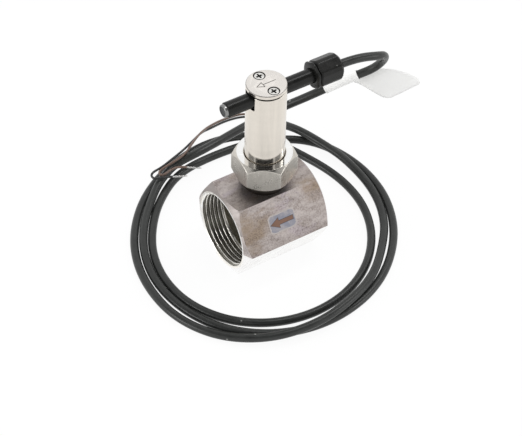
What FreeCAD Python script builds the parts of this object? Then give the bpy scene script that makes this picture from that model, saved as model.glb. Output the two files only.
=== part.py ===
import FreeCAD, Part
import math
import os
import Sketcher

# Inline paddle flow switch: a hexagonal steel tee with a female pipe thread at each end, a neck and
# union nut on top, a slim switch housing held by that nut, a paddle lever that swings in the flow and
# carries a magnet up into the housing, and a sealed reed switch tube clamped across the housing's top.
# Millimetres. +Z runs up the housing axis, +X along the pipe axis against the flow, and the origin is
# under the housing axis on the flat that the tee stands on.

DIMENSIONS = (
    # Tee
    ("tee_length", 52.0, "tee body, face to face"),
    ("thread_bore", 38.95, "minor diameter of the inch and a quarter pipe thread"),
    ("thread_length", 18.0, "depth of each threaded end"),
    ("thread_chamfer", 1.625, "countersink at each thread mouth"),
    ("thread_step", 1.475, "step from the thread down to the flow passage"),
    ("end_ring", 0.6, "flat ring round each thread mouth"),
    ("flat_wall", 1.3, "from that ring out to the hexagon's flats"),
    ("end_chamfer", 2.6, "how far the end chamfer sets the hexagon's corners back"),
    # Neck and union nut
    ("neck_height", 15.0, "neck above the tee's top flat"),
    ("neck_wall", 3.7, "wall of the threaded neck"),
    ("neck_chamfer", 0.6, "chamfer on the neck's top rim"),
    ("spigot_wall", 1.5, "wall of the neck's spigot in the tee"),
    ("spigot_length", 3.0, "depth of that spigot"),
    ("seal_width", 1.9, "width of the squeezed seal and its groove"),
    ("seal_height", 1.3, "height of the squeezed seal and depth of its groove"),
    ("seal_round", 0.4, "rounding of the squeezed seal"),
    ("nut_wall", 1.8, "union nut outside the neck, at its flats"),
    ("nut_height", 14.6, "union nut height"),
    ("nut_web", 2.5, "web of the nut over the housing collar"),
    ("nut_face_inset", 0.7, "rim of the nut's flat faces inside its flats"),
    ("nut_chamfer", 1.5, "how far the nut's corners are set back"),
    ("nut_turn", 26.4, "angle of a nut corner from the pipe axis"),
    ("nut_hole_clearance", 0.25, "radial gap between nut and housing"),
    ("screw_clearance", 0.05, "radial room between screwed or loose parts"),
    # Switch housing and clamp cap
    ("cavity_bore", 15.4, "blind bore that the magnet swings in"),
    ("housing_wall", 2.8, "wall round that bore"),
    ("headroom", 2.3, "blind bore above the magnet cup"),
    ("floor_web", 2.3, "wall between the blind bore and the tube slot"),
    ("slot_clearance", 0.3, "room for the tube in its slot, across and in height"),
    ("collar_inset", 0.3, "collar under the union nut's web, inside the neck's outside"),
    ("collar_height", 3.2, "height of that collar"),
    ("pilot_wall", 1.45, "wall of the housing pilot round the pivot carrier"),
    ("pilot_length", 9.0, "housing pilot inside the neck"),
    ("pilot_clearance", 0.05, "radial room of the pilot in the neck"),
    ("cap_thickness", 2.8, "clamp cap"),
    ("cap_chamfer", 0.5, "chamfer on the cap's rim"),
    ("seam_chamfer", 0.25, "chamfer on each side of the cap seam"),
    ("screw_wall", 2.55, "screw axis outside the tube slot"),
    ("screw_diameter", 3.0, "cap screw thread"),
    ("screw_hole_room", 0.1, "radial room of a screw in the cap"),
    ("screw_depth", 8.0, "tapped hole depth in the housing"),
    ("head_diameter", 5.6, "countersunk screw head"),
    ("head_rim", 0.2, "straight rim of the screw head"),
    ("sink_room", 0.35, "countersink rim outside the screw head"),
    ("recess_span", 3.0, "cross recess, tip to tip"),
    ("recess_width", 0.62, "cross recess slot"),
    ("recess_depth", 0.9, "cross recess depth"),
    # Reed switch tube and cable gland
    ("tube_diameter", 8.1, "outside of the reed switch tube"),
    ("tube_wall", 1.0, "wall of the tube"),
    ("tube_reach", 24.2, "tube end ahead of the housing axis"),
    ("tube_seat", 4.2, "depth of the tube in the gland"),
    ("tube_chamfer", 0.5, "chamfer on the tube's free end"),
    ("plug_inset", 0.55, "rim of the tube's end plug inside the tube's outside"),
    ("plug_face", 1.5, "plug rim thickness"),
    ("plug_depth", 5.0, "plug inside the tube"),
    ("plug_chamfer", 0.4, "chamfer on the plug rim"),
    ("plug_dish", 0.3, "depth of the shallow dish in the plug's face"),
    ("glass_diameter", 2.6, "reed switch capsule"),
    ("glass_length", 15.0, "capsule length"),
    ("glass_wall", 0.4, "capsule wall"),
    ("reed_width", 1.2, "width of a reed"),
    ("reed_thickness", 0.3, "thickness of a reed"),
    ("reed_overlap", 1.2, "overlap of the two reeds"),
    ("reed_gap", 0.2, "contact gap between the reeds"),
    ("reed_lead", 5.0, "reed beyond the capsule"),
    ("gland_station", 26.8, "gland collar behind the housing axis"),
    ("gland_collar", 1.8, "thickness of the gland body's collar"),
    ("gland_gap", 0.4, "groove between collar and gland nut"),
    ("gland_wall", 1.55, "gland nut outside the barrel, at its flats"),
    ("gland_nut_length", 14.3, "gland nut"),
    ("gland_face_inset", 1.2, "rim of the gland nut's end face inside its flats"),
    ("gland_chamfer", 1.6, "how far the gland nut's corners are set back"),
    ("barrel_wall", 1.35, "wall of the gland body's barrel round the tube"),
    ("barrel_length", 8.4, "barrel beyond the collar"),
    ("gland_seal_wall", 2.3, "wall of the cable seal"),
    ("gland_seal_length", 3.4, "length of the cable seal"),
    ("cable_hole_room", 0.3, "radial room of the cable in the gland"),
    # Pivot and paddle lever
    ("carrier_shoulder", 0.3, "pivot carrier outside the blind bore"),
    ("carrier_height", 8.0, "pivot carrier height"),
    ("slot_end_room", 0.8, "lever slot beyond the lever boss, along the pipe"),
    ("slot_side_room", 0.4, "lever slot beyond the lever, across the pipe"),
    ("clip_thickness", 1.0, "retaining ring"),
    ("clip_width", 1.2, "retaining ring inside the carrier's rim"),
    ("clip_depth", 0.6, "retaining ring groove depth"),
    ("clip_gap", 4.0, "gap of the retaining ring"),
    ("pivot_rise", 5.2, "pivot above the carrier's lower face"),
    ("pin_diameter", 2.0, "pivot pin"),
    ("pin_inset", 0.3, "pivot pin ends inside the carrier's rim"),
    ("pivot_clearance", 0.03, "radial running clearance on the pin"),
    ("bush_wall", 0.57, "wall of the pivot bush"),
    ("boss_wall", 1.0, "wall of the lever boss"),
    ("arm_width", 5.2, "lever width across the pipe"),
    ("arm_thickness", 2.4, "lever thickness"),
    ("arm_corner", 1.0, "rounding of the lever's lower corners"),
    ("crank_angle", 7.0, "lean of the upper arm ahead of the lower one"),
    ("upper_arm", 31.0, "pivot to the magnet cup's floor"),
    ("magnet_diameter", 4.0, "lever magnet"),
    ("magnet_sink", 0.4, "lever magnet below the cup's rim"),
    ("cup_wall", 0.6, "wall of the magnet cup"),
    ("cup_height", 6.6, "magnet cup height"),
    ("cup_floor", 0.8, "magnet cup floor"),
    ("return_diameter", 3.0, "return magnet"),
    ("return_length", 4.0, "return magnet length"),
    ("return_drop", 3.4, "return magnet below the pivot"),
    ("return_web", 0.3, "wall between return magnet and lever slot"),
    ("blade_width", 15.0, "paddle blade width"),
    ("blade_thickness", 0.8, "paddle blade thickness"),
    ("blade_top_gap", 4.0, "paddle blade's upper edge from the passage's wall"),
    ("blade_tip_gap", 1.0, "paddle blade's lowest point from the passage's wall"),
    ("blade_lap", 10.8, "how far the lever laps the blade"),
    ("rivet_diameter", 2.0, "paddle rivet"),
    ("rivet_head_rim", 0.6, "paddle rivet head outside its shank"),
    ("rivet_head_height", 0.7, "paddle rivet head height"),
    ("rivet_inset", 2.8, "set-in of a rivet from the edge beside it"),
    # Cable
    ("cable_diameter", 4.6, "cable sheath"),
    ("conductor_diameter", 1.3, "insulated conductor"),
    ("strand_diameter", 0.9, "tinned conductor end"),
    ("strand_length", 4.2, "tinned end beyond the insulation"),
    ("coil_height", 6.9, "height of the coil of cable"),
    ("coil_round", 2.2, "rounding of the coil"),
    ("coil_rest", 0.1, "coil and cable above the standing flat"),
    ("label_thickness", 0.4, "folded cable label"),
)

doc = FreeCAD.newDocument("flow_switch")
size = doc.addObject("Spreadsheet::Sheet", "size")
for row, (alias, amount, meaning) in enumerate(DIMENSIONS, start=1):
    size.set(f"A{row}", meaning)
    size.set(f"B{row}", str(amount))
    size.setAlias(f"B{row}", alias)
doc.recompute()

# Radii, heights and stations worked out from the driving dimensions
THREAD_RADIUS = "(size.thread_bore / 2)"
MOUTH_RADIUS = f"({THREAD_RADIUS} + size.thread_chamfer)"
RING_RADIUS = f"({MOUTH_RADIUS} + size.end_ring)"
CHAMBER_RADIUS = f"({THREAD_RADIUS} - size.thread_step)"
BORE_AXIS = f"({RING_RADIUS} + size.flat_wall)"
TEE_TOP = f"(2 * {BORE_AXIS})"
CAVITY_RADIUS = "(size.cavity_bore / 2)"
HOUSING_RADIUS = f"({CAVITY_RADIUS} + size.housing_wall)"
CARRIER_RADIUS = f"({CAVITY_RADIUS} + size.carrier_shoulder)"
PILOT_RADIUS = f"({CARRIER_RADIUS} + size.pilot_wall)"
NECK_BORE = f"({PILOT_RADIUS} + size.pilot_clearance)"
NECK_RADIUS = f"({NECK_BORE} + size.neck_wall)"
SPIGOT_RADIUS = f"({NECK_BORE} + size.spigot_wall)"
COLLAR_RADIUS = f"({NECK_RADIUS} - size.collar_inset)"
SEAL_MIDDLE = f"(({NECK_BORE} + {NECK_RADIUS}) / 2)"
SEAL_INNER = f"({SEAL_MIDDLE} - size.seal_width / 2)"
SEAL_OUTER = f"({SEAL_MIDDLE} + size.seal_width / 2)"
NECK_TOP = f"({TEE_TOP} + size.neck_height)"
COLLAR_TOP = f"({NECK_TOP} + size.collar_height)"
NUT_TOP = f"({COLLAR_TOP} + size.nut_web)"
NUT_BOTTOM = f"({NUT_TOP} - size.nut_height)"
NUT_FLAT = f"({NECK_RADIUS} + size.nut_wall)"
NUT_CORNER = f"({NUT_FLAT} * 2 / sqrt(3))"
NUT_FACE = f"({NUT_FLAT} - size.nut_face_inset)"
NUT_THREAD = f"({NECK_RADIUS} + size.screw_clearance)"
PILOT_BOTTOM = f"({NECK_TOP} - size.pilot_length)"
CLIP_BOTTOM = f"({PILOT_BOTTOM} + size.clip_thickness)"
CLIP_RADIUS = f"({CARRIER_RADIUS} + size.clip_depth)"
CARRIER_BOTTOM = f"({CLIP_BOTTOM} + size.clip_thickness)"
CARRIER_TOP = f"({CARRIER_BOTTOM} + size.carrier_height)"
PIVOT = f"({CARRIER_BOTTOM} + size.pivot_rise)"
BUSH_BORE = "(size.pin_diameter / 2 + size.pivot_clearance)"
BUSH_RADIUS = f"({BUSH_BORE} + size.bush_wall)"
BOSS_RADIUS = f"({BUSH_RADIUS} + size.boss_wall)"
SLOT_END = f"({BOSS_RADIUS} + size.slot_end_room)"
SLOT_SIDE = "(size.arm_width / 2 + size.slot_side_room)"
RETURN_FACE = f"({SLOT_END} + size.return_web)"
RETURN_HEIGHT = f"({PIVOT} - size.return_drop)"
CUP_RIM = "(size.upper_arm + size.cup_height)"
CAVITY_TOP = f"({PIVOT} + {CUP_RIM} + size.headroom)"
SLOT_WIDTH = "(size.tube_diameter + size.slot_clearance)"
SLOT_FLOOR = f"({CAVITY_TOP} + size.floor_web)"
HOUSING_TOP = f"({SLOT_FLOOR} + {SLOT_WIDTH})"
CAP_TOP = f"({HOUSING_TOP} + size.cap_thickness)"
SCREW_OFFSET = f"({SLOT_WIDTH} / 2 + size.screw_wall)"
SCREW_END = f"({HOUSING_TOP} - size.screw_depth + size.screw_diameter / 2)"
HEAD_RIM = f"({CAP_TOP} - size.sink_room)"
HEAD_TOP = f"({HEAD_RIM} + size.head_rim)"
TUBE_AXIS = f"({SLOT_FLOOR} + {SLOT_WIDTH} / 2)"
TUBE_RADIUS = "(size.tube_diameter / 2)"
TUBE_BORE = f"({TUBE_RADIUS} - size.tube_wall)"
TUBE_END = "(size.gland_station + size.tube_seat)"
BARREL_RADIUS = f"({TUBE_RADIUS} + size.barrel_wall)"
BARREL_END = "(size.gland_collar + size.barrel_length)"
GLAND_FLAT = f"({BARREL_RADIUS} + size.screw_clearance + size.gland_wall)"
GLAND_CORNER = f"({GLAND_FLAT} * 2 / sqrt(3))"
GLAND_NUT_STATION = "(size.gland_station + size.gland_collar + size.gland_gap)"
CABLE_RADIUS = "(size.cable_diameter / 2)"
CABLE_HOLE = f"({CABLE_RADIUS} + size.cable_hole_room)"
SEAL_STATION = f"(size.gland_station + {BARREL_END})"
SEAL_SEAT = f"({SEAL_STATION} - {GLAND_NUT_STATION})"
CABLE_SEAL = f"({CABLE_RADIUS} + size.gland_seal_wall)"
BLADE_TOP = f"({BORE_AXIS} + {CHAMBER_RADIUS} - size.blade_top_gap)"
BLADE_TIP = f"({BORE_AXIS} - {CHAMBER_RADIUS} + size.blade_tip_gap)"
LOWER_ARM_END = f"({BLADE_TOP} - size.blade_lap)"
RIVET_RADIUS = "(size.rivet_diameter / 2)"
RIVET_HEIGHTS = (f"({LOWER_ARM_END} + size.rivet_inset)", f"({BLADE_TOP} - size.rivet_inset)")


def value(expression):
    """The number that an expression of sheet names stands for."""
    return float(size.evalExpression(expression))


def new_body(label):
    body = doc.addObject("PartDesign::Body", label)
    body.Label = label
    return body


def origin_plane(body, role):
    return next(item for item in body.Origin.OriginFeatures if item.Role == role)


def new_sketch(body, role, name, level=None):
    """A sketch on one of the body's origin planes, raised along its normal by level."""
    sketch = body.newObject("Sketcher::SketchObject", name)
    sketch.AttachmentSupport = [(origin_plane(body, role), "")]
    sketch.MapMode = "FlatFace"
    if level:
        sketch.setExpression("AttachmentOffset.Base.z", level)
    return sketch


def pin_point(sketch, edge, end, across, along):
    """Fixes a sketch point by two expressions; "0" puts it on an axis."""
    if across == "0":
        sketch.addConstraint(Sketcher.Constraint("PointOnObject", edge, end, -2))
    else:
        index = sketch.addConstraint(Sketcher.Constraint("DistanceX", -1, 1, edge, end, value(across)))
        sketch.setExpression(f"Constraints[{index}]", across)
    if along == "0":
        sketch.addConstraint(Sketcher.Constraint("PointOnObject", edge, end, -1))
    else:
        index = sketch.addConstraint(Sketcher.Constraint("DistanceY", -1, 1, edge, end, value(along)))
        sketch.setExpression(f"Constraints[{index}]", along)


def add_outline(sketch, points):
    """A closed outline of straight lines through points given as pairs of expressions."""
    first = sketch.GeometryCount
    corners = [FreeCAD.Vector(value(across), value(along), 0) for across, along in points]
    count = len(corners)
    for index in range(count):
        line = Part.LineSegment(corners[index], corners[(index + 1) % count])
        sketch.addGeometry(line, False)
    for index in range(count):
        follower = first + (index + 1) % count
        sketch.addConstraint(Sketcher.Constraint("Coincident", first + index, 2, follower, 1))
    for index, (across, along) in enumerate(points):
        pin_point(sketch, first + index, 1, across, along)


def add_circle(sketch, across, along, diameter):
    centre = FreeCAD.Vector(value(across), value(along), 0)
    circle = Part.Circle(centre, FreeCAD.Vector(0, 0, 1), value(diameter) / 2)
    edge = sketch.addGeometry(circle, False)
    pin_point(sketch, edge, 3, across, along)
    index = sketch.addConstraint(Sketcher.Constraint("Diameter", edge, value(diameter)))
    sketch.setExpression(f"Constraints[{index}]", diameter)


def add_rectangle(sketch, half_width, bottom, top):
    """A rectangle centred across the sketch."""
    add_outline(sketch, [
        (f"-({half_width})", bottom),
        (half_width, bottom),
        (half_width, top),
        (f"-({half_width})", top),
    ])


def revolve(body, name, points, axis="V_Axis", kind="Revolution"):
    """Turns, or cuts with a turned profile, about an axis of the body's XZ plane."""
    sketch = new_sketch(body, "XZ_Plane", f"{name}_profile")
    add_outline(sketch, points)
    feature = body.newObject(f"PartDesign::{kind}", name)
    feature.Profile = sketch
    feature.ReferenceAxis = (sketch, [axis])
    feature.Angle = 360
    return feature


def pad(body, name, sketch, length, symmetric=False, reverse=False):
    feature = body.newObject("PartDesign::Pad", name)
    feature.Profile = sketch
    feature.setExpression("Length", length)
    feature.Reversed = reverse
    if symmetric:
        feature.SideType = "Symmetric"
    return feature


def pocket(body, name, sketch, depth=None, symmetric=False, reverse=False):
    """Cuts a sketch to a depth, or right through the body."""
    feature = body.newObject("PartDesign::Pocket", name)
    feature.Profile = sketch
    feature.Reversed = reverse
    if depth:
        feature.setExpression("Length", depth)
    else:
        feature.Type = "ThroughAll"
    if symmetric:
        feature.SideType = "Symmetric"
    return feature


def hexagon_bar(body, name, corner, length, role="XY_Plane", start=None):
    bar = body.newObject("PartDesign::AdditivePrism", name)
    bar.AttachmentSupport = [(origin_plane(body, role), "")]
    bar.MapMode = "FlatFace"
    bar.Polygon = 6
    bar.setExpression("Circumradius", corner)
    bar.setExpression("Height", length)
    if start:
        bar.setExpression("AttachmentOffset.Base.z", start)
    return bar


def cut_corners(body, name, corner, face_radius, level, setback):
    """Cones off a hexagon's corners at an end face; setback is signed towards the other end."""
    beyond = f"({corner} * 2 - {face_radius})"
    return revolve(body, name, [
        (face_radius, level),
        (beyond, level),
        (beyond, f"({level} - 2 * ({setback}))"),
    ], kind="Groove")


def lay_along_pipe(body, station, height=TUBE_AXIS):
    """Turns a body made along its own Z so that it lies along +X from a station."""
    body.Placement = FreeCAD.Placement(FreeCAD.Vector(), FreeCAD.Rotation(FreeCAD.Vector(0, 1, 0), 90))
    body.setExpression("Placement.Base.x", station)
    body.setExpression("Placement.Base.z", height)


def lean_on_pivot(item, angle="size.crank_angle"):
    """Sets a piece made about its own origin on the pivot, leaning against +X."""
    item.Placement = FreeCAD.Placement(FreeCAD.Vector(), FreeCAD.Rotation(FreeCAD.Vector(0, -1, 0), 1))
    item.setExpression("Placement.Base.z", PIVOT)
    item.setExpression("Placement.Rotation.Angle", angle)


def drill_for_rivets(body):
    """Two rivet holes through a strip that stands across the pipe."""
    holes = new_sketch(body, "YZ_Plane", "rivet_hole_outline")
    for height in RIVET_HEIGHTS:
        add_circle(holes, "0", height, "size.rivet_diameter")
    pocket(body, "rivet_holes", holes, symmetric=True)


def make_tee_body():
    """Hexagon bar with coned ends, a stepped bore for both pipes and a hole for the neck."""
    body = new_body("tee_body")
    body.setExpression("Placement.Base.z", BORE_AXIS)
    half = "(size.tee_length / 2)"
    corner = f"({BORE_AXIS} * 2 / sqrt(3))"
    hexagon_bar(body, "bar", corner, "size.tee_length", "YZ_Plane", f"-{half}")
    beyond = f"({corner} * 2 - {RING_RADIUS})"
    cone = revolve(body, "end_cone", [
        (half, RING_RADIUS),
        (half, beyond),
        (f"({half} - 2 * size.end_chamfer)", beyond),
    ], axis="H_Axis", kind="Groove")
    stop = f"({half} - size.thread_length)"
    bore = revolve(body, "stepped_bore", [
        ("0", "0"),
        (half, "0"),
        (half, MOUTH_RADIUS),
        (f"({half} - size.thread_chamfer)", THREAD_RADIUS),
        (stop, THREAD_RADIUS),
        (stop, CHAMBER_RADIUS),
        ("0", CHAMBER_RADIUS),
    ], axis="H_Axis", kind="Groove")
    other_end = body.newObject("PartDesign::Mirrored", "other_end")
    other_end.Originals = [cone, bore]
    other_end.MirrorPlane = (origin_plane(body, "YZ_Plane"), [""])
    body.Tip = other_end
    hole = new_sketch(body, "XY_Plane", "neck_hole_outline")
    add_circle(hole, "0", "0", f"(2 * {SPIGOT_RADIUS})")
    pocket(body, "neck_hole", hole, reverse=True)
    return body


def make_neck():
    """Turned neck let into the tee, with a seal groove in its top face."""
    body = new_body("neck_adapter")
    bottom = f"({TEE_TOP} - size.spigot_length)"
    groove = f"({NECK_TOP} - size.seal_height)"
    revolve(body, "turned_neck", [
        (NECK_BORE, bottom),
        (SPIGOT_RADIUS, bottom),
        (SPIGOT_RADIUS, TEE_TOP),
        (NECK_RADIUS, TEE_TOP),
        (NECK_RADIUS, f"({NECK_TOP} - size.neck_chamfer)"),
        (f"({NECK_RADIUS} - size.neck_chamfer)", NECK_TOP),
        (SEAL_OUTER, NECK_TOP),
        (SEAL_OUTER, groove),
        (SEAL_INNER, groove),
        (SEAL_INNER, NECK_TOP),
        (NECK_BORE, NECK_TOP),
    ])
    return body


def make_seal():
    """Squeezed O-ring that fills the neck's groove."""
    body = new_body("housing_o_ring")
    low = f"({NECK_TOP} - size.seal_height)"
    revolve(body, "ring", [
        (f"({SEAL_INNER} + size.seal_round)", low),
        (f"({SEAL_OUTER} - size.seal_round)", low),
        (SEAL_OUTER, f"({low} + size.seal_round)"),
        (SEAL_OUTER, f"({NECK_TOP} - size.seal_round)"),
        (f"({SEAL_OUTER} - size.seal_round)", NECK_TOP),
        (f"({SEAL_INNER} + size.seal_round)", NECK_TOP),
        (SEAL_INNER, f"({NECK_TOP} - size.seal_round)"),
        (SEAL_INNER, f"({low} + size.seal_round)"),
    ])
    return body


def make_union_nut():
    """Hexagon union nut whose web holds the housing collar down on the seal."""
    body = new_body("union_nut")
    body.setExpression("Placement.Rotation.Angle", "size.nut_turn")
    hexagon_bar(body, "bar", NUT_CORNER, "size.nut_height", start=NUT_BOTTOM)
    cut_corners(body, "top_cone", NUT_CORNER, NUT_FACE, NUT_TOP, "size.nut_chamfer")
    cut_corners(body, "foot_cone", NUT_CORNER, NUT_FACE, NUT_BOTTOM, "-size.nut_chamfer")
    hole = f"({HOUSING_RADIUS} + size.nut_hole_clearance)"
    revolve(body, "stepped_bore", [
        ("0", NUT_BOTTOM),
        (NUT_THREAD, NUT_BOTTOM),
        (NUT_THREAD, COLLAR_TOP),
        (hole, COLLAR_TOP),
        (hole, NUT_TOP),
        ("0", NUT_TOP),
    ], kind="Groove")
    return body


def make_housing():
    """Slim turned housing: pilot, collar, blind magnet bore, and a slot across its top for the tube."""
    body = new_body("switch_housing")
    revolve(body, "turned_housing", [
        (CARRIER_RADIUS, PILOT_BOTTOM),
        (PILOT_RADIUS, PILOT_BOTTOM),
        (PILOT_RADIUS, NECK_TOP),
        (COLLAR_RADIUS, NECK_TOP),
        (COLLAR_RADIUS, COLLAR_TOP),
        (HOUSING_RADIUS, COLLAR_TOP),
        (HOUSING_RADIUS, f"({HOUSING_TOP} - size.seam_chamfer)"),
        (f"({HOUSING_RADIUS} - size.seam_chamfer)", HOUSING_TOP),
        ("0", HOUSING_TOP),
        ("0", CAVITY_TOP),
        (CAVITY_RADIUS, CAVITY_TOP),
        (CAVITY_RADIUS, CARRIER_TOP),
        (CARRIER_RADIUS, CARRIER_TOP),
    ])
    revolve(body, "clip_groove", [
        (CARRIER_RADIUS, CLIP_BOTTOM),
        (CLIP_RADIUS, CLIP_BOTTOM),
        (CLIP_RADIUS, CARRIER_BOTTOM),
        (CARRIER_RADIUS, CARRIER_BOTTOM),
    ], kind="Groove")
    slot = new_sketch(body, "YZ_Plane", "slot_outline")
    add_rectangle(slot, f"{SLOT_WIDTH} / 2", SLOT_FLOOR, CAP_TOP)
    pocket(body, "tube_slot", slot, symmetric=True)
    taps = new_sketch(body, "XY_Plane", "tapped_hole_outline", HOUSING_TOP)
    hole = "(size.screw_diameter + 2 * size.screw_clearance)"
    add_circle(taps, "0", SCREW_OFFSET, hole)
    add_circle(taps, "0", f"-{SCREW_OFFSET}", hole)
    pocket(body, "tapped_holes", taps, "size.screw_depth")
    return body


def make_cap():
    """Clamp cap with two countersunk holes."""
    body = new_body("clamp_cap")
    hole = "(size.screw_diameter + 2 * size.screw_hole_room)"
    revolve(body, "disc", [
        ("0", HOUSING_TOP),
        (f"({HOUSING_RADIUS} - size.seam_chamfer)", HOUSING_TOP),
        (HOUSING_RADIUS, f"({HOUSING_TOP} + size.seam_chamfer)"),
        (HOUSING_RADIUS, f"({CAP_TOP} - size.cap_chamfer)"),
        (f"({HOUSING_RADIUS} - size.cap_chamfer)", CAP_TOP),
        ("0", CAP_TOP),
    ])
    doc.recompute()
    marks = new_sketch(body, "XY_Plane", "screw_hole_outline", CAP_TOP)
    add_circle(marks, "0", SCREW_OFFSET, hole)
    add_circle(marks, "0", f"-{SCREW_OFFSET}", hole)
    doc.recompute()
    holes = body.newObject("PartDesign::Hole", "screw_holes")
    holes.Profile = marks
    holes.setExpression("Diameter", hole)
    holes.DepthType = "ThroughAll"
    holes.HoleCutType = "Countersink"
    holes.HoleCutCountersinkAngle = 90
    holes.setExpression("HoleCutDiameter", "size.head_diameter + 2 * size.sink_room")
    return body


def make_screws():
    """Two countersunk screws with a cross recess, one turned and one mirrored."""
    body = new_body("cap_screw")
    shank = "(size.screw_diameter / 2)"
    head = "(size.head_diameter / 2)"
    revolve(body, "turned_screw", [
        ("0", SCREW_END),
        (shank, SCREW_END),
        (shank, f"({HEAD_RIM} - {head} + {shank})"),
        (head, HEAD_RIM),
        (head, HEAD_TOP),
        ("0", HEAD_TOP),
    ])
    cross = new_sketch(body, "XY_Plane", "recess_outline", HEAD_TOP)
    tip = "(size.recess_span / 2)"
    side = "(size.recess_width / 2)"
    quarter = [(tip, f"-{side}"), (tip, side), (side, side)]
    points = []
    for turn in range(4):
        for across, along in quarter:
            points.append((across, along))
        quarter = [(f"-{along}", across) for across, along in quarter]
    add_outline(cross, [tuple(item.replace("--", "") for item in point) for point in points])
    pocket(body, "cross_recess", cross, "size.recess_depth")
    body.setExpression("Placement.Base.y", SCREW_OFFSET)
    other = doc.addObject("Part::Mirroring", "cap_screw_mirrored")
    other.Source = body
    other.Normal = FreeCAD.Vector(0, 1, 0)
    pair = doc.addObject("Part::Compound", "cap_screws")
    pair.Label = "cap_screws"
    pair.Links = [body, other]
    return pair


def make_tube():
    """Plastic tube of the reed switch, chamfered at its free end."""
    body = new_body("sensor_tube")
    lay_along_pipe(body, "-size.tube_reach")
    length = f"(size.tube_reach + {TUBE_END})"
    revolve(body, "wall", [
        (TUBE_BORE, "0"),
        (f"({TUBE_RADIUS} - size.tube_chamfer)", "0"),
        (TUBE_RADIUS, "size.tube_chamfer"),
        (TUBE_RADIUS, length),
        (TUBE_BORE, length),
    ])
    return body


def make_end_plug():
    """Grey plug with a dished face that closes the tube's free end."""
    body = new_body("tube_end_plug")
    lay_along_pipe(body, "-(size.tube_reach + size.plug_face)")
    rim = f"({TUBE_RADIUS} - size.plug_inset)"
    dish = f"({rim} - 2 * size.plug_chamfer)"
    end = "(size.plug_face + size.plug_depth)"
    revolve(body, "turned_plug", [
        ("0", "size.plug_dish"),
        (dish, "size.plug_dish"),
        (dish, "0"),
        (f"({rim} - size.plug_chamfer)", "0"),
        (rim, "size.plug_chamfer"),
        (rim, "size.plug_face"),
        (TUBE_BORE, "size.plug_face"),
        (TUBE_BORE, end),
        ("0", end),
    ])
    return body


def make_potting():
    """Cast resin that fills the tube round the reed switch capsule."""
    body = new_body("tube_potting")
    lay_along_pipe(body, "(size.plug_depth - size.tube_reach)")
    length = f"(size.tube_reach + {TUBE_END} - size.plug_depth)"
    revolve(body, "cast_core", [
        ("(size.glass_diameter / 2)", "0"),
        (TUBE_BORE, "0"),
        (TUBE_BORE, length),
        ("(size.glass_diameter / 2)", length),
    ])
    return body


def make_reed_glass():
    """Hollow glass capsule with a lead hole at each end."""
    body = new_body("reed_glass")
    lay_along_pipe(body, "-(size.glass_length / 2)")
    outer = "(size.glass_diameter / 2)"
    inner = f"({outer} - size.glass_wall)"
    cap = "(2 * size.glass_wall)"
    lead = "(size.reed_width / 2)"
    revolve(body, "capsule", [
        (lead, "0"),
        (inner, "0"),
        (outer, cap),
        (outer, f"(size.glass_length - {cap})"),
        (inner, "size.glass_length"),
        (lead, "size.glass_length"),
        (lead, f"(size.glass_length - {cap})"),
        (inner, f"(size.glass_length - 2 * {cap})"),
        (inner, f"(2 * {cap})"),
        (lead, cap),
    ])
    return body


def make_reed(label, sign):
    """One flat reed, from its lead outside the capsule to its contact end past the middle."""
    reed = doc.addObject("Part::Box", label)
    reed.Label = label
    length = "(size.glass_length / 2 + size.reed_lead + size.reed_overlap / 2)"
    reed.setExpression("Length", length)
    reed.setExpression("Width", "size.reed_width")
    reed.setExpression("Height", "size.reed_thickness")
    if sign > 0:
        reed.setExpression("Placement.Base.x", "-(size.reed_overlap / 2)")
        reed.setExpression("Placement.Base.z", f"{TUBE_AXIS} + size.reed_gap / 2")
    else:
        reed.setExpression("Placement.Base.x", f"size.reed_overlap / 2 - {length}")
        reed.setExpression("Placement.Base.z", f"{TUBE_AXIS} - size.reed_gap / 2 - size.reed_thickness")
    reed.setExpression("Placement.Base.y", "-size.reed_width / 2")
    return reed


def make_gland_body():
    """Gland body: hexagon collar on the tube's end and a barrel for the gland nut."""
    body = new_body("gland_body")
    lay_along_pipe(body, "size.gland_station")
    hexagon_bar(body, "collar", GLAND_CORNER, "size.gland_collar")
    revolve(body, "barrel", [
        ("0", "0"),
        (BARREL_RADIUS, "0"),
        (BARREL_RADIUS, BARREL_END),
        ("0", BARREL_END),
    ])
    revolve(body, "stepped_bore", [
        ("0", "0"),
        (TUBE_RADIUS, "0"),
        (TUBE_RADIUS, "size.tube_seat"),
        (CABLE_HOLE, "size.tube_seat"),
        (CABLE_HOLE, BARREL_END),
        ("0", BARREL_END),
    ], kind="Groove")
    return body


def make_gland_nut():
    """Gland nut with coned ends, screwed over the barrel and pressing on the cable seal."""
    body = new_body("gland_nut")
    lay_along_pipe(body, GLAND_NUT_STATION)
    hexagon_bar(body, "bar", GLAND_CORNER, "size.gland_nut_length")
    face = f"({GLAND_FLAT} - size.gland_face_inset)"
    cut_corners(body, "outer_cone", GLAND_CORNER, face, "size.gland_nut_length", "size.gland_chamfer")
    cut_corners(body, "inner_cone", GLAND_CORNER, GLAND_FLAT, "0", "-size.gland_chamfer / 2")
    barrel = f"({BARREL_RADIUS} + size.screw_clearance)"
    seat = f"({CABLE_SEAL} + size.screw_clearance)"
    seal_end = f"({SEAL_SEAT} + size.gland_seal_length)"
    revolve(body, "stepped_bore", [
        ("0", "0"),
        (barrel, "0"),
        (barrel, SEAL_SEAT),
        (seat, SEAL_SEAT),
        (seat, seal_end),
        (CABLE_HOLE, seal_end),
        (CABLE_HOLE, "size.gland_nut_length"),
        ("0", "size.gland_nut_length"),
    ], kind="Groove")
    return body


def make_gland_seal():
    body = new_body("gland_seal")
    lay_along_pipe(body, SEAL_STATION)
    revolve(body, "sleeve", [
        (CABLE_RADIUS, "0"),
        (CABLE_SEAL, "0"),
        (CABLE_SEAL, "size.gland_seal_length"),
        (CABLE_RADIUS, "size.gland_seal_length"),
    ])
    return body


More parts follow.
